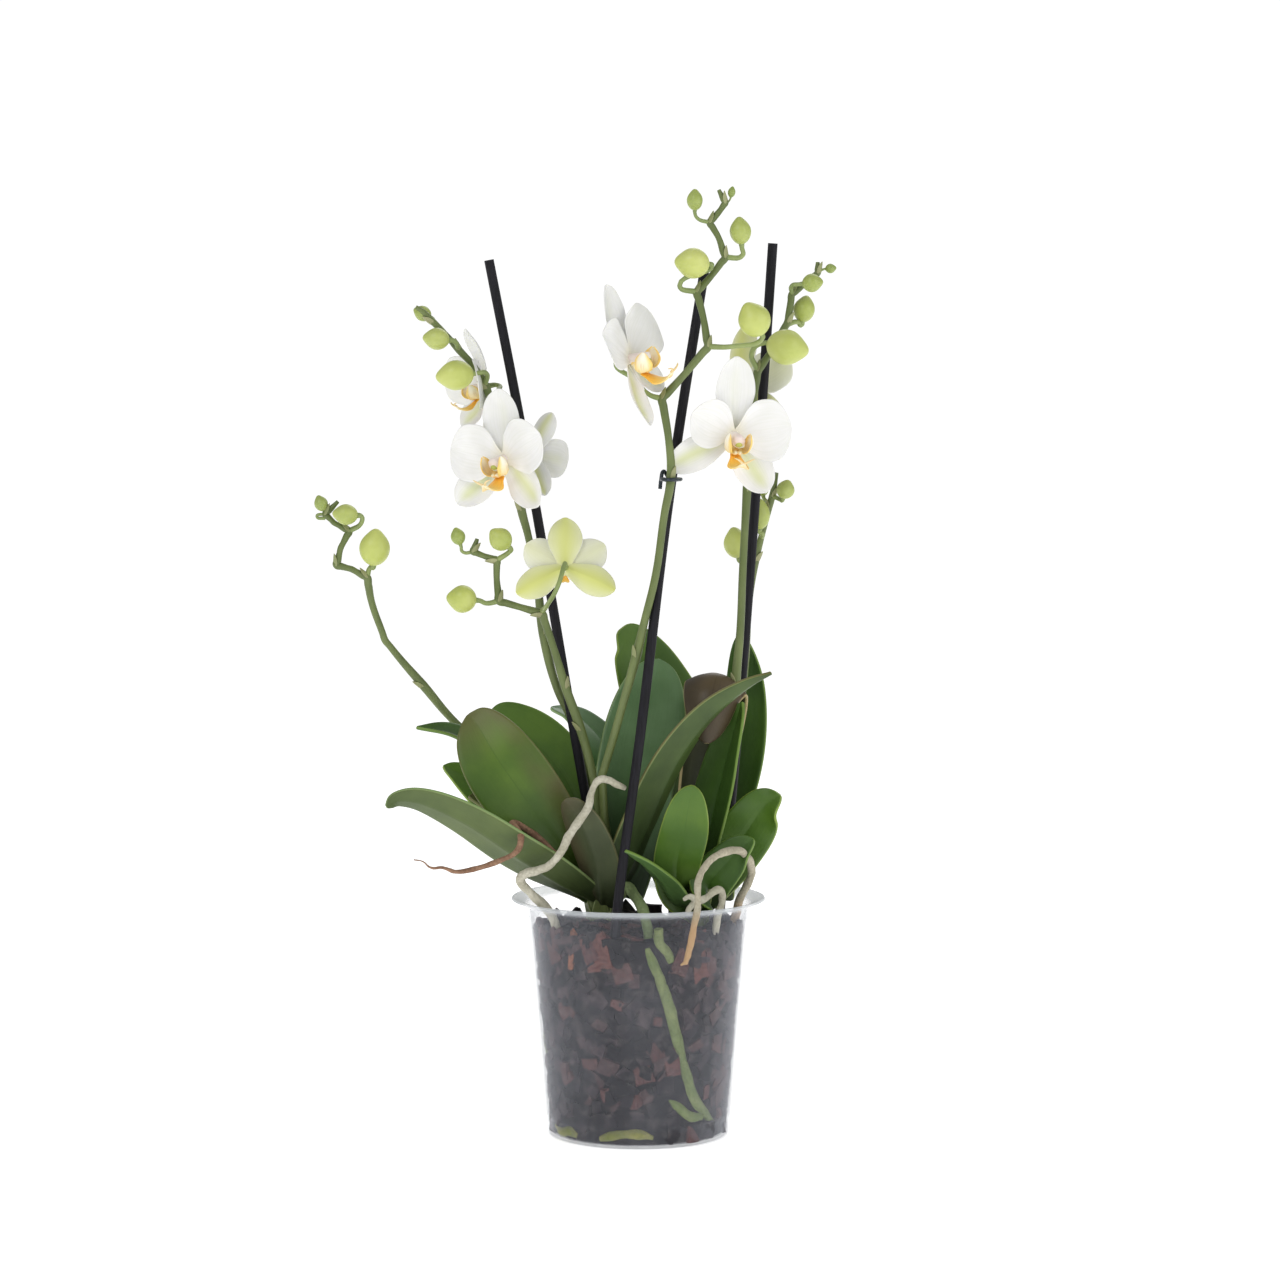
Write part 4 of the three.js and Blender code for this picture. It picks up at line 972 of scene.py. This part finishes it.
def make_petals(age, cup, dorsal, petals, sepals):
    """The sepals and petals of one flower. Each is a slope in degrees, a length and a width in mm, the
    one to the left of its face before the one to the right; cup is how far the tips come forward."""
    skins = petal_skins[age]
    parts = []
    blades = [("dorsal", 1, dorsal)]
    for kind, (left, right) in (("petal", petals), ("sepal", sepals)):
        blades += [(kind, -1, left), (kind, 1, right)]
    for kind, hand, (slope, reach, width) in blades:
        aside, up = hand * math.cos(math.radians(slope)), math.sin(math.radians(slope))
        if kind == "petal":
            outline, fold, wave = petal_outline, 0.05, 0.9
            steps = ((0.02, 0.9), (0.3, 2.0), (0.62, 3.0 + 0.4 * cup), (1, 3.4 + cup))
        else:
            outline, fold, wave = sepal_outline, 0.14, 0.4
            steps = ((0.02, -0.8), (0.33, -1.4), (0.68, -1.0 + 0.25 * cup), (1, 1.4 + 0.7 * cup))
        line = [(aside * reach * share, up * reach * share, lift) for share, lift in steps]
        parts.append(flower_blade(line, width, outline, (up, -aside, 0), skins[kind], thickness=0.5,
                                  fold=fold, groove=0.3, cup=1.6, wave=wave, waves=3 + 0.4 * hand,
                                  rows=24, columns=12))
    neck = rod("neck", in_flower([(0, 0, -3.4), (0, 0, -1.6), (0, 0, 0.6)]), [1.5, 1.9, 2.3], 16)
    neck.data.materials.append(stalk_skin)
    return join([*parts, neck], "petals")


def lip_material():
    """Cream at the tip, through yellow, to deep orange at the throat, with red-brown bars."""
    material, tree, shader = new_material("lip_orange", 0.45, 0.4)
    shader.inputs["Subsurface Weight"].default_value = 0.12
    shader.inputs["Subsurface Radius"].default_value = (0.003, 0.002, 0.001)
    split = tree.nodes.new("ShaderNodeSeparateXYZ")
    tree.links.new(coordinates(tree, "UV"), split.inputs["Vector"])
    shades = ramp(tree, split.outputs["Y"], [(0.0, "fab83f"), (0.3, "fbc352"), (0.52, "fbd578"),
                                             (0.75, "f9e6b4"), (1.0, "f7f1dc")])
    bars = mottle(tree, coordinates(tree, "UV", (14, 3, 1)), 1.0, 2, 0.55, 0.68)
    throat = stretch(tree, split.outputs["Y"], 0.5, 0.1)
    share = arithmetic(tree, "MULTIPLY", arithmetic(tree, "MULTIPLY", bars, throat), 0.4)
    tree.links.new(blend(tree, share, shades, paint("b8692a")), shader.inputs["Base Color"])
    bump(tree, shader, bars, 0.2, 0.0003)
    return material


def lobe_material():
    """The lip's side lobes: white outside, inside cream with yellow edges and fine red-brown stripes."""
    material, tree, shader = new_material("lip_side_lobe", 0.5, 0.35)
    shader.inputs["Subsurface Weight"].default_value = 0.15
    shader.inputs["Subsurface Radius"].default_value = (0.003, 0.003, 0.001)
    split = tree.nodes.new("ShaderNodeSeparateXYZ")
    tree.links.new(coordinates(tree, "UV"), split.inputs["Vector"])
    across = arithmetic(tree, "ABSOLUTE", arithmetic(tree, "SUBTRACT", split.outputs["X"], 0.5))
    edge = stretch(tree, across, 0.2, 0.46)
    foot = stretch(tree, split.outputs["Y"], 0.75, 0.1)
    yellow = arithmetic(tree, "MAXIMUM", edge, arithmetic(tree, "MULTIPLY", foot, 0.8))
    body = blend(tree, yellow, paint("faf4e2"), paint("fbd87c"))
    bars = mottle(tree, coordinates(tree, "UV", (20, 3.5, 1)), 1.0, 2, 0.56, 0.64)
    share = arithmetic(tree, "MULTIPLY", arithmetic(tree, "MULTIPLY", bars, foot), 0.4)
    tree.links.new(blend(tree, share, body, paint("a3472a")), shader.inputs["Base Color"])
    return material


lip_skin, lobe_skin = lip_material(), lobe_material()
mid_lobe_outline = smooth_outline([(0, 0.42), (0.18, 0.5), (0.34, 0.78), (0.5, 1.0), (0.64, 0.84),
                                   (0.8, 0.48), (0.92, 0.28), (1, 0.14)])
side_lobe_outline = smooth_outline([(0, 0.35), (0.2, 0.6), (0.45, 0.95), (0.65, 1.0), (0.85, 0.72),
                                    (0.95, 0.42), (1, 0.12)])


def knob(segments, rings, radius, place, stretched, skin):
    """A small rounded body in a flower's own frame, such as the column's cap or a callus."""
    deselect()
    bpy.ops.mesh.primitive_uv_sphere_add(segments=segments, ring_count=rings, radius=radius * MM,
                                         location=in_flower([place])[0], scale=stretched)
    body = bpy.context.object
    bpy.ops.object.transform_apply(location=True, rotation=True, scale=True)
    body.data.materials.append(skin)
    smooth(body, 80)
    return body


def make_lip():
    """The column with its cap, and the lip: side lobes, callus, mid-lobe and its two curled tendrils."""
    parts = []
    rise = [(0, 0, 0.4), (0, -0.2, 3.2), (0, -0.9, 6.2), (0, -1.6, 8.4), (0, -2.0, 9.2)]
    column = rod("column", in_flower(rise), [2.2, 2.0, 2.5, 2.7, 1.7], 20)
    column.data.materials.append(column_skin)
    parts.append(column)
    parts.append(knob(16, 10, 1.6, (0, -2.5, 8.3), (1.05, 0.8, 0.75), pollen_green))
    for hand in (1, -1):
        wing = [(1.1, -5.6, 4.0), (3.6, -6.0, 5.6), (5.4, -3.8, 7.6), (5.6, -0.6, 9.0), (4.4, 1.8, 10.2)]
        lobe = flower_blade([(hand * x, y, z) for x, y, z in wing], 8.2, side_lobe_outline,
                            (0, 0.35 * hand, -hand), (lobe_skin, lobe_skin), thickness=0.5,
                            fold=-0.35, groove=0, cup=-0.8, rows=14, columns=8)
        parts.append(lobe)
        parts.append(knob(12, 8, 1.25, (hand * 0.95, -6.0, 7.3), (0.9, 0.8, 1.3), lip_skin))
    foot = rod("foot", in_flower([(0, -1.0, 2.2), (0, -4.4, 3.2), (0, -6.2, 5.0)]), [1.8, 1.7, 1.9], 14)
    foot.data.materials.append(lobe_skin)
    parts.append(foot)
    tongue = [(0, -6.2, 4.2), (0, -8.4, 7.2), (0, -10.4, 10.6), (0, -10.8, 14.2), (0, -9.2, 17.4)]
    middle = flower_blade(tongue, 9.5, mid_lobe_outline, (1, 0, 0), (lip_skin, lip_skin), thickness=0.7,
                          fold=0.28, groove=-0.3, cup=0.3, rows=22, columns=10)
    parts.append(middle)
    for hand in (1, -1):
        curl = [(0.3, -9.4, 16.8), (1.4, -8.6, 18.2), (2.9, -7.6, 18.8), (4.2, -7.2, 18.2)]
        curl = in_flower([(hand * x, y, z) for x, y, z in curl])
        tendril = rod("tendril", curl, [0.6, 0.48, 0.34, 0.16], 8)
        tendril.data.materials.append(tendril_skin)
        parts.append(tendril)
    return join(parts, "lip")


# each flower: its age, how far its tips come forward, its dorsal sepal (slope in degrees, length and
# width in mm), its two petals and its two lateral sepals
flower_shapes = {
    "side": ("open", 9, (90, 31, 18), ((12, 26, 27), (12, 26, 27)), ((-50, 28, 17), (-50, 28, 17))),
    "left": ("open", 2, (88, 33, 21), ((14, 27, 28), (24, 26, 27)), ((-36, 33, 18), (-50, 29, 18))),
    "back_left": ("open", 2, (90, 31, 19), ((14, 27, 27), (8, 27, 27)), ((-45, 30, 18), (-55, 30, 18))),
    "turned_away": ("young", 1, (90, 29, 20), ((33, 26, 20), (33, 26, 20)), ((-24, 30, 18), (-28, 30, 18))),
    "top": ("open", 2, (92, 36, 19), ((38, 29, 24), (34, 28, 29)), ((-78, 32, 14), (-48, 26, 16))),
    "right": ("open", 1, (93, 37, 19.5), ((24, 24, 24), (14, 27, 30)), ((-27, 35, 17), (-54, 31, 19))),
    "back_right": ("young", 8, (90, 36, 19), ((30, 27, 26), (22, 27, 26)), ((-50, 28, 17), (-50, 28, 17))),
}
# one lip is made, and each flower has a copy of it, at its own size
model_lip = make_lip()
lip_sizes = {"turned_away": 0.55, "side": 0.95, "back_left": 0.9}
for name, shape in flower_shapes.items():
    petals = make_petals(*shape)
    petals.data.transform(flower_frame(name) @ Matrix.Scale(1 / MM, 4))
    petals.name = f"{name}_flower_petals"
    keep(petals, petals.name, "petal", f"flower_{name}_petals")
    lip = bpy.data.objects.new(f"{name}_flower_lip", model_lip.data.copy())
    bpy.context.scene.collection.objects.link(lip)
    lip.data.transform(flower_frame(name) @ Matrix.Scale(lip_sizes.get(name, 1.15) / MM, 4))
    keep(lip, lip.name, "lip", f"flower_{name}_lip")
bpy.data.objects.remove(model_lip)


# ---- Roots -------------------------------------------------------------------------------------
# Thick spongy roots: silver-grey where they hang dry in the air, green where they lie damp against
# the wall of the pot. One has withered brown, and the tips of the right-hand loop have dried tan.
def root_material(name, base, light, dark, roughness, tip=None):
    material, tree, shader = new_material(name, roughness, 0.3)
    where = coordinates(tree)
    patch = mottle(tree, where, 120, 5, 0.3, 0.7)
    speck = mottle(tree, where, 900, 4, 0.4, 0.7)
    body = blend(tree, patch, paint(base), paint(light))
    body = blend(tree, arithmetic(tree, "MULTIPLY", speck, 0.4), body, paint(dark))
    if tip:
        dried = height_share(tree, 0.116, 0.104)
        body = blend(tree, dried, body, paint(tip))
    tree.links.new(body, shader.inputs["Base Color"])
    rough = arithmetic(tree, "ADD", arithmetic(tree, "MULTIPLY", patch, 0.6),
                       arithmetic(tree, "MULTIPLY", speck, 0.4))
    bump(tree, shader, rough, 0.7, 0.0006)
    return material


def against_wall(degrees, share, radius):
    """A place against the inside of the wall: degrees round from the front, share of the bark's depth."""
    height = BARK_SURFACE + (POT_FLOOR + radius * MM - BARK_SURFACE) * share
    reach = min(wall_inside(height - radius * MM), wall_inside(height + radius * MM)) - radius * MM - 0.0004
    turn = math.radians(degrees)
    return Vector((reach * math.sin(turn), -reach * math.cos(turn), height))


def outside_rim(degrees, clearance, above):
    """A place off the pot's lip: degrees round from the front, mm out from its edge and mm above its top."""
    lip_radius, lip_top = 0.060, 0.113
    turn = math.radians(degrees)
    reach = lip_radius + clearance * MM
    return Vector((reach * math.sin(turn), -reach * math.cos(turn), lip_top + above * MM))


silver = root_material("silver_root", "b4b09c", "cbc7b6", "8f8c76", 0.75)
silver_tan = root_material("silver_root_tan_tip", "aaa48f", "c4bca7", "857c64", 0.75, "b39471")
withered = root_material("withered_root", "866550", "a5836a", "5f4638", 0.8)
damp = root_material("damp_root", "697a42", "86925c", "4e5a2f", 0.5)
dusty = root_material("dusty_green_root", "5f7046", "77865b", "4a5838", 0.7)
floor_green = root_material("floor_root", "757b40", "94914e", "555d2e", 0.55)

left_loop = above_bark([(-6, -36, 66), (-10, -37, 68), (-14, -37, 70), (-18, -38, 70), (-21, -39, 66),
                        (-23, -41, 58), (-27, -43, 52), (-32, -44, 45), (-36, -44, 37), (-41, -42, 31),
                        (-46, -41, 28.5), (-52, -40, 27), (-54.5, -38, 24), (-50, -34, 17), (-43, -28, 9),
                        (-39.5, -25, 3), (-38, -24, -3)])
dried_line = above_bark([(-24, -9, 16), (-38, -16, 32), (-51, -25, 45), (-58, -34, 49.5), (-56, -41, 47),
                         (-54, -44, 44), (-56, -45, 38), (-63, -46, 34), (-72, -48, 31), (-84, -50, 29),
                         (-90, -51, 31), (-95, -52, 31), (-99, -53, 34), (-103, -54, 35)])
right_loop = above_bark([(44, -6, -4), (46, -7, 3), (47.5, -9, 10), (52, -14, 20), (53, -18, 26),
                         (49, -28, 35), (45, -34, 37), (40, -42, 37), (34, -50, 35), (30, -54, 31)])
right_loop += [outside_rim(25.5, 4, 15), outside_rim(25.3, 3.8, 8), outside_rim(25.2, 3.4, 1),
               outside_rim(23.7, 2.8, -8), outside_rim(22.7, 1.2, -16), outside_rim(21.6, -1, -24)]
forked = above_bark([(21, -42, 15), (24, -43, 16.5), (27, -41, 14.5), (31, -39, 15), (35, -37, 18),
                     (38, -35, 18.5), (39, -33, 14), (37, -31, 6), (36, -30, -3)])
fork_branch = above_bark([(27, -41, 14.5), (24.5, -42, 12), (23, -43, 9.5), (24, -43.5, 8)])
green_air = above_bark([(-8, -18, 14), (-5, -26, 19), (-2, -33, 16), (2, -38, 10), (4, -41, 3), (5, -42, -3)])


def swell(count, first, middle, last, knots=()):
    """A radius at each point, running from first by middle to last, thicker at the knots."""
    radii = []
    for i in range(count):
        t = i / (count - 1)
        base = first + (middle - first) * min(1, 2 * t) if t < 0.5 else middle + (last - middle) * (2 * t - 1)
        radii.append(base * (1.12 if i in knots else 1.0) * (1 + 0.05 * math.sin(2.7 * i)))
    return radii


tan_tips = [
    [outside_rim(22.7, 1.2, -16), outside_rim(22.0, 0.6, -19), outside_rim(21.4, -0.4, -23),
     outside_rim(19.6, -1.4, -24.5)],
    [outside_rim(22.3, 0.6, -18), outside_rim(23.2, 0.3, -20), outside_rim(23.0, -0.6, -22)],
]
wall_radii = {
    "wall_root_right": [2.2, 3.0, 3.4, 3.4, 3.1, 3.5, 3.0, 2.4],
    "wall_root_branch": [1.3, 2.6, 2.9, 2.6],
    "wall_root_top": [2.2, 2.4, 2.4, 1.8],
    "wall_root_left": [1.2, 1.9, 1.9, 1.3],
    "floor_root_front": [1.6, 2.5, 2.2, 2.6, 1.6],
    "floor_root_left": [1.5, 2.3, 2.5, 1.8],
}
# the fine unevenness of all roots
knobble = bpy.data.textures.new("knobble", "CLOUDS")
knobble.noise_scale = 0.006
knobble.noise_depth = 3


def root(name, lines, skin, slot, *nodes):
    """Joins the rods of one root and gives them an uneven, knobbly surface."""
    parts = [rod("root", points, radii, 16, 6) for points, radii in lines]
    for part in parts:
        uneven = part.modifiers.new("uneven", "DISPLACE")
        uneven.texture = knobble
        uneven.texture_coords = "GLOBAL"
        uneven.strength = 0.0012
        uneven.mid_level = 0.5
        apply_modifiers(part)
        smooth(part, 70)
    piece = join(parts, name)
    piece.data.materials.append(skin)
    keep(piece, name, slot, *nodes)


root("silver_root_left", [(left_loop, [1.1, 1.6, *swell(15, 1.7, 1.9, 2.2, (4, 9, 12))])], silver,
     "silver_root", "aerial_root_left")
root("withered_root", [(dried_line, swell(14, 1.7, 1.35, 0.3, (3, 8)))], withered, "dried_root",
     "aerial_root_dried")
root("silver_root_right", [(right_loop, [1.9] * 6 + [1.8, 1.75, 1.7, 1.7, 1.6, 1.6, 1.5, 1.55, 1.5, 0.9]),
                           (tan_tips[0], [1.2, 0.9, 0.7, 0.2]), (tan_tips[1], [0.9, 0.6, 0.25])],
     silver_tan, "silver_root", "aerial_root_right")
root("silver_root_forked", [(forked, [0.9, 1.6, 1.8, 1.7, 1.7, 1.8, 1.8, 1.7, 1.5]),
                            (fork_branch, [1.6, 1.5, 1.4, 0.8])],
     silver, "silver_root", "aerial_root_forked")
root("green_root_front", [(green_air, swell(6, 2.3, 2.6, 2.2))], dusty, "green_root", "aerial_root_green")
for name in wall_routes:
    if name == "wall_root_branch":
        continue
    lines = []
    for part in (name, "wall_root_branch") if name == "wall_root_right" else (name,):
        lines.append(([against_wall(a, s, max(wall_radii[part]) * 0.96) for a, s in wall_routes[part]],
                      wall_radii[part]))
    root(f"damp_{name}", lines, floor_green if name.startswith("floor") else damp, "green_root", name)


# ---- Leaves ------------------------------------------------------------------------------------
# Broad, leathery leaves, about two millimetres thick, that clasp the short stem. Each has a sunk
# midrib, a glossy upper side and a duller, paler underside; some are flushed purple-brown by the light.
def leaf_material(name, body, deep, margin, margin_share, flush_and_shade, gloss):
    """A leaf's skin: its own veins lengthwise, a midrib line, its margin's colour, a flush that on the brown
    leaf is painted shade, and painted shade that darkens it toward its foot.
    """
    material, tree, shader = new_material(name, gloss, 0.38)
    split = tree.nodes.new("ShaderNodeSeparateXYZ")
    tree.links.new(coordinates(tree, "UV"), split.inputs["Vector"])
    across = arithmetic(tree, "ABSOLUTE", arithmetic(tree, "SUBTRACT", split.outputs["X"], 0.5))
    patch = mottle(tree, coordinates(tree), 38, 4, 0.3, 0.7)
    veins = mottle(tree, coordinates(tree, "UV", (34, 1.2, 1)), 1.0, 4, 0.35, 0.7)
    # painted shade: toward its foot the leaf is blended into a near-black green, the shade that the other
    # leaves cast round the crown
    foot = stretch(tree, split.outputs["Y"], 0.42, 0.0)
    colour = blend(tree, patch, paint(body), paint(deep))
    colour = blend(tree, arithmetic(tree, "MULTIPLY", foot, 0.84), colour, paint("17240f"))
    colour = blend(tree, arithmetic(tree, "MULTIPLY", veins, 0.14), colour, paint(deep))
    # a flush toward the tip and one side: purple-brown pigment on the flushed and olive skins, painted shade
    # on the brown one
    if flush_and_shade:
        tip = stretch(tree, split.outputs["Y"], 0.55, 1.0)
        side = stretch(tree, split.outputs["X"], 0.62, 0.98)
        where = arithmetic(tree, "MAXIMUM", tip, side)
        where = arithmetic(tree, "MULTIPLY", where, mottle(tree, coordinates(tree), 26, 3, 0.25, 0.6))
        colour = blend(tree, arithmetic(tree, "MULTIPLY", where, 0.6), colour, paint(flush_and_shade))
    rib = arithmetic(tree, "MULTIPLY", stretch(tree, across, 0.024, 0.005),
                     stretch(tree, split.outputs["Y"], 1.0, 0.7))
    colour = blend(tree, arithmetic(tree, "MULTIPLY", rib, 0.6), colour, paint(deep))
    rim = arithmetic(tree, "MAXIMUM", stretch(tree, across, 0.474, 0.492),
                     stretch(tree, split.outputs["Y"], 0.985, 0.997))
    rim = arithmetic(tree, "MULTIPLY", rim, margin_share)
    tree.links.new(blend(tree, rim, colour, paint(margin)), shader.inputs["Base Color"])
    height = arithmetic(tree, "SUBTRACT", arithmetic(tree, "MULTIPLY", veins, 0.5), rib)
    bump(tree, shader, height, 0.12, 0.0004)
    return material


# each skin: the upper side and the underside, as colours of the body, its deeper patches and its margin,
# the margin's strength and the colour of its flush, which on the brown skin is near-black painted shade
leaf_colours = {
    "fresh": (("587828", "446520", "98ae50", 0.6, None), ("74905a", "63814a", "97ad6d", 0.5, None)),
    "flushed": (("5b7826", "46641f", "7d7a4a", 0.5, "65533a"), ("4f6430", "3c4f24", "8f9a60", 0.6, None)),
    "deep": (("436422", "33521a", "7f9c42", 0.6, None), ("5a7a42", "4a6937", "86a060", 0.5, None)),
    "sheen": (("628256", "4f6f43", "8fa86c", 0.6, None), ("7c966e", "6b875c", "98ac84", 0.5, None)),
    "pale_back": (("4d6b34", "3d5a2a", "8fa86c", 0.6, None), ("5c6c3a", "4a5b2f", "93a268", 0.6, None)),
    "olive": (("4c5631", "3d4728", "6f6a48", 0.5, "5c4f38"), ("50593a", "3f482c", "6f6a48", 0.5, "5a4c38")),
    "brown": (("5e5038", "453a28", "b9a878", 0.9, "1f1a14"), ("3f4226", "32371e", "b9a878", 0.9, None)),
}
skins = {}
for name, (upper, under) in leaf_colours.items():
    gloss = 0.36 if name == "sheen" else 0.42
    skins[name] = (leaf_material(f"leaf_{name}", *upper, gloss),
                   leaf_material(f"leaf_{name}_under", *under, 0.5))
# each leaf: its midrib from its foot, its width, the way its upper side looks, its fold, how broad its foot
# is, where it is widest, how sharp its tip is, and its skin
leaves = {
    "left_front": ([(-20, -2, 12), (-36, -14, 35), (-51, -20, 57), (-65, -20, 77), (-75, -14, 93),
                    (-80, -10, 98)],
                   38, (-0.1, -0.9, 0.4), 0.1, 0.35, 0.62, 0.5, "flushed"),
    "left_lowest": ([(-19, -4, 9), (-37, -22, 21), (-57, -34, 35), (-78, -42, 50), (-98, -46, 60),
                     (-110, -48, 62), (-116, -50, 59)],
                    29, (0.3, 0.7, 0.65), 0.2, 0.5, 0.42, 0.6, "pale_back"),
    "left_pointed": ([(-21, 1, 12), (-45, 13, 46), (-66, 11, 70), (-86, 6, 86), (-105, 2, 91)],
                     26, (0.35, -0.25, 0.9), 0.4, 0.4, 0.5, 0.8, "deep"),
    "left_back": ([(-19, 3, 13), (-30, 22, 54), (-45, 32, 76), (-62, 38, 90), (-73, 40, 94)],
                  34, (0.2, -0.8, 0.5), 0.12, 0.35, 0.6, 0.5, "fresh"),
    "left_behind": ([(-20, 3, 9), (-47, 24, 35), (-71, 30, 54), (-85, 32, 65), (-94, 32, 70)],
                    22, (0.2, -0.75, 0.6), 0.15, 0.4, 0.6, 0.6, "fresh"),
    "left_red_tip": ([(-21, 0, 8), (-39, -2, 29), (-58, -2, 46), (-72, -4, 56), (-80, -6, 59)],
                     18, (0.3, -0.6, 0.7), 0.2, 0.4, 0.6, 0.6, "flushed"),
    "left_small_brown": ([(-17, -3, 7), (-17, -16, 15), (-19, -24, 30), (-24, -31, 45), (-30, -35, 56),
                          (-34, -37, 61)],
                         22, (0.3, 0.8, 0.4), 0.12, 0.45, 0.6, 0.5, "olive"),
    "back_thin": ([(-17, 4, 9), (-10, 28, 39), (-13, 50, 71), (-29, 62, 90), (-43, 68, 95)],
                  26, (0.1, -0.35, 1), 0.1, 0.4, 0.55, 0.6, "sheen"),
    "centre_back": ([(26, 3, 10), (27, 26, 44), (19, 38, 82), (6, 44, 110), (-4, 42, 128), (-10, 38, 134)],
                    40, (0.3, -0.9, 0.3), 0.12, 1.0, 0.62, 0.5, "fresh"),
    "centre_broad": ([(-14, 1, 12), (-6, 4, 42), (0, 11, 75), (6, 18, 103), (10, 24, 122)],
                     39, (0.1, -0.9, 0.3), 0.1, 0.85, 0.62, 0.5, "sheen"),
    "centre_long": ([(-13, -3, 9), (-5, -15, 26), (3, -19, 45), (17, -22, 76), (33, -24, 98), (50, -25, 112),
                     (62, -26, 119)],
                    31, (-0.5, 0.45, 0.75), 0.35, 0.62, 0.4, 0.9, "flushed"),
    "right_folded": ([(26, 2, 11), (28, 8, 42), (34, 13, 80), (38, 8, 106), (38, -2, 117), (35, -12, 110),
                      (33, -15, 97), (32, -15, 85)],
                     29, (0, 0, 0), -0.1, 0.5, 0.72, 0.5, "brown"),
    "right_tall": ([(29, 3, 9), (40, 28, 40), (49, 36, 73), (52, 37, 106), (49, 34, 134)],
                   25, (-0.3, -0.9, 0.2), 0.2, 0.6, 0.55, 0.6, "deep"),
    "right_pale_edge": ([(28, -1, 11), (34, -4, 43), (41, -6, 73), (46, -8, 92), (49, -8, 104)],
                        28, (-0.6, -0.5, 0.3), 0.35, 0.75, 0.5, 0.7, "deep"),
    "right_front": ([(25, -2, 7), (19, -15, 15), (18, -24, 29), (21, -33, 44), (23, -39, 57), (25, -41, 68)],
                    23, (0.1, -0.9, 0.4), 0.1, 0.8, 0.62, 0.5, "fresh"),
    "right_low": ([(29, 1, 8), (41, 2, 26), (51, -3, 42), (59, -7, 54), (67, -10, 60)],
                  27, (0.4, -0.7, 0.6), 0.15, 0.55, 0.55, 0.6, "fresh"),
    "front_small": ([(25, -2, 5), (17, -18, 11), (12, -27, 21), (5, -35, 29), (-1, -40, 34), (-6, -44, 38)],
                    18, (0.4, 0.3, 0.9), 0.3, 0.9, 0.3, 0.9, "deep"),
    "right_dark": ([(28, -2, 6), (34, -18, 20), (41, -22, 29), (47, -24, 36), (54, -25, 41)],
                   21, (0.3, -0.7, 0.6), 0.2, 0.7, 0.45, 0.6, "deep"),
}


def leaf_outline(stalk, peak, point):
    """Widest at peak; point is 0.5 for a round tip and near 1 for a sharp one."""
    outline = []
    for k in range(61):
        t = k / 60
        if t < peak:
            outline.append((t, stalk + (1 - stalk) * math.sin(math.pi / 2 * t / peak)))
        else:
            past = (t - peak) / (1 - peak)
            outline.append((t, max(0.03, (1 - past**2.2) ** point)))
    return outline


# the bent-over leaf's midrib turns back on itself, so its width is laid out along a fixed direction
for name, (route, width, facing, fold, stalk, peak, point, skin) in leaves.items():
    bent_over = name == "right_folded"
    across = (-1, 0, 0.2) if bent_over else None
    cup = -7 if bent_over else 0
    leaf = blade(f"{name}_leaf", above_bark(route), width, leaf_outline(stalk, peak, point), facing=facing,
                 across=across, thickness=1.7, fold=fold, groove=0.9, cup=cup, wave=0.8, waves=2.2, rows=34,
                 columns=14, skins=skins[skin])
    keep(leaf, f"{name}_leaf", "brown_leaf" if skin == "brown" else "leaf", f"leaf_{name}")


# ---- Clips -------------------------------------------------------------------------------------
# Small sprung clips of dark coated wire that hold the stems to the canes. Each is one loop round the
# cane and the stem; the middle one has its finger hook toward the front.
def clip_material():
    material, tree, shader = new_material("clip_coating", 0.35, 0.5)
    worn = mottle(tree, coordinates(tree), 400, 3, 0.5, 0.75)
    worn_share = arithmetic(tree, "MULTIPLY", worn, 0.4)
    tree.links.new(blend(tree, worn_share, paint("1d2830"), paint("3a4852")), shader.inputs["Base Color"])
    bump(tree, shader, worn, 0.1, 0.0002)
    return material


def at_height(points, height):
    """Where a line of places crosses a height."""
    for a, b in zip(points, points[1:]):
        if a.z <= height < b.z:
            return a.lerp(b, (height - a.z) / (b.z - a.z))
    return points[-1]


clip_skin = clip_material()
# each clip: its cane, its stem, its height above the bark in mm, and its hook if it has one
hook = [(-3.5, -5.5, -4.5), (-3, -5, 0), (-2, -3, 3.6), (-0.8, -1, 2.5)]
clips = (("left", "left", 217, []), ("middle", "centre", 209, hook), ("right", "right", 232, []))
clip_room, wire_radius = 4.4, 0.9
for side, spike_name, above, handle in clips:
    height = BARK_SURFACE + above * MM
    cane = at_height(above_bark([cane_feet[side], *cane_routes[side]]), height)
    stem = at_height(above_bark(spikes[spike_name]["stem"]), height)
    middle, apart = (cane + stem) / 2, stem - cane
    apart.z = 0
    first = apart.normalized()
    second = Vector((-first.y, first.x, 0))
    loop = []
    for i in range(11):
        turn = math.radians(-150 + 30 * i)
        room = (clip_room + 0.05 * (1 + math.cos(turn))) * MM
        along = first * (apart.length / 2 + room) * math.cos(turn)
        loop.append(middle + along + second * room * math.sin(turn))
    loop = [loop[0] + Vector(offset) * MM for offset in handle] + loop
    wire = rod(f"clip_{side}", loop, [wire_radius] * len(loop), 12)
    wire.data.materials.append(clip_skin)
    keep(wire, f"clip_{side}", "clip", f"stem_clip_{side}")
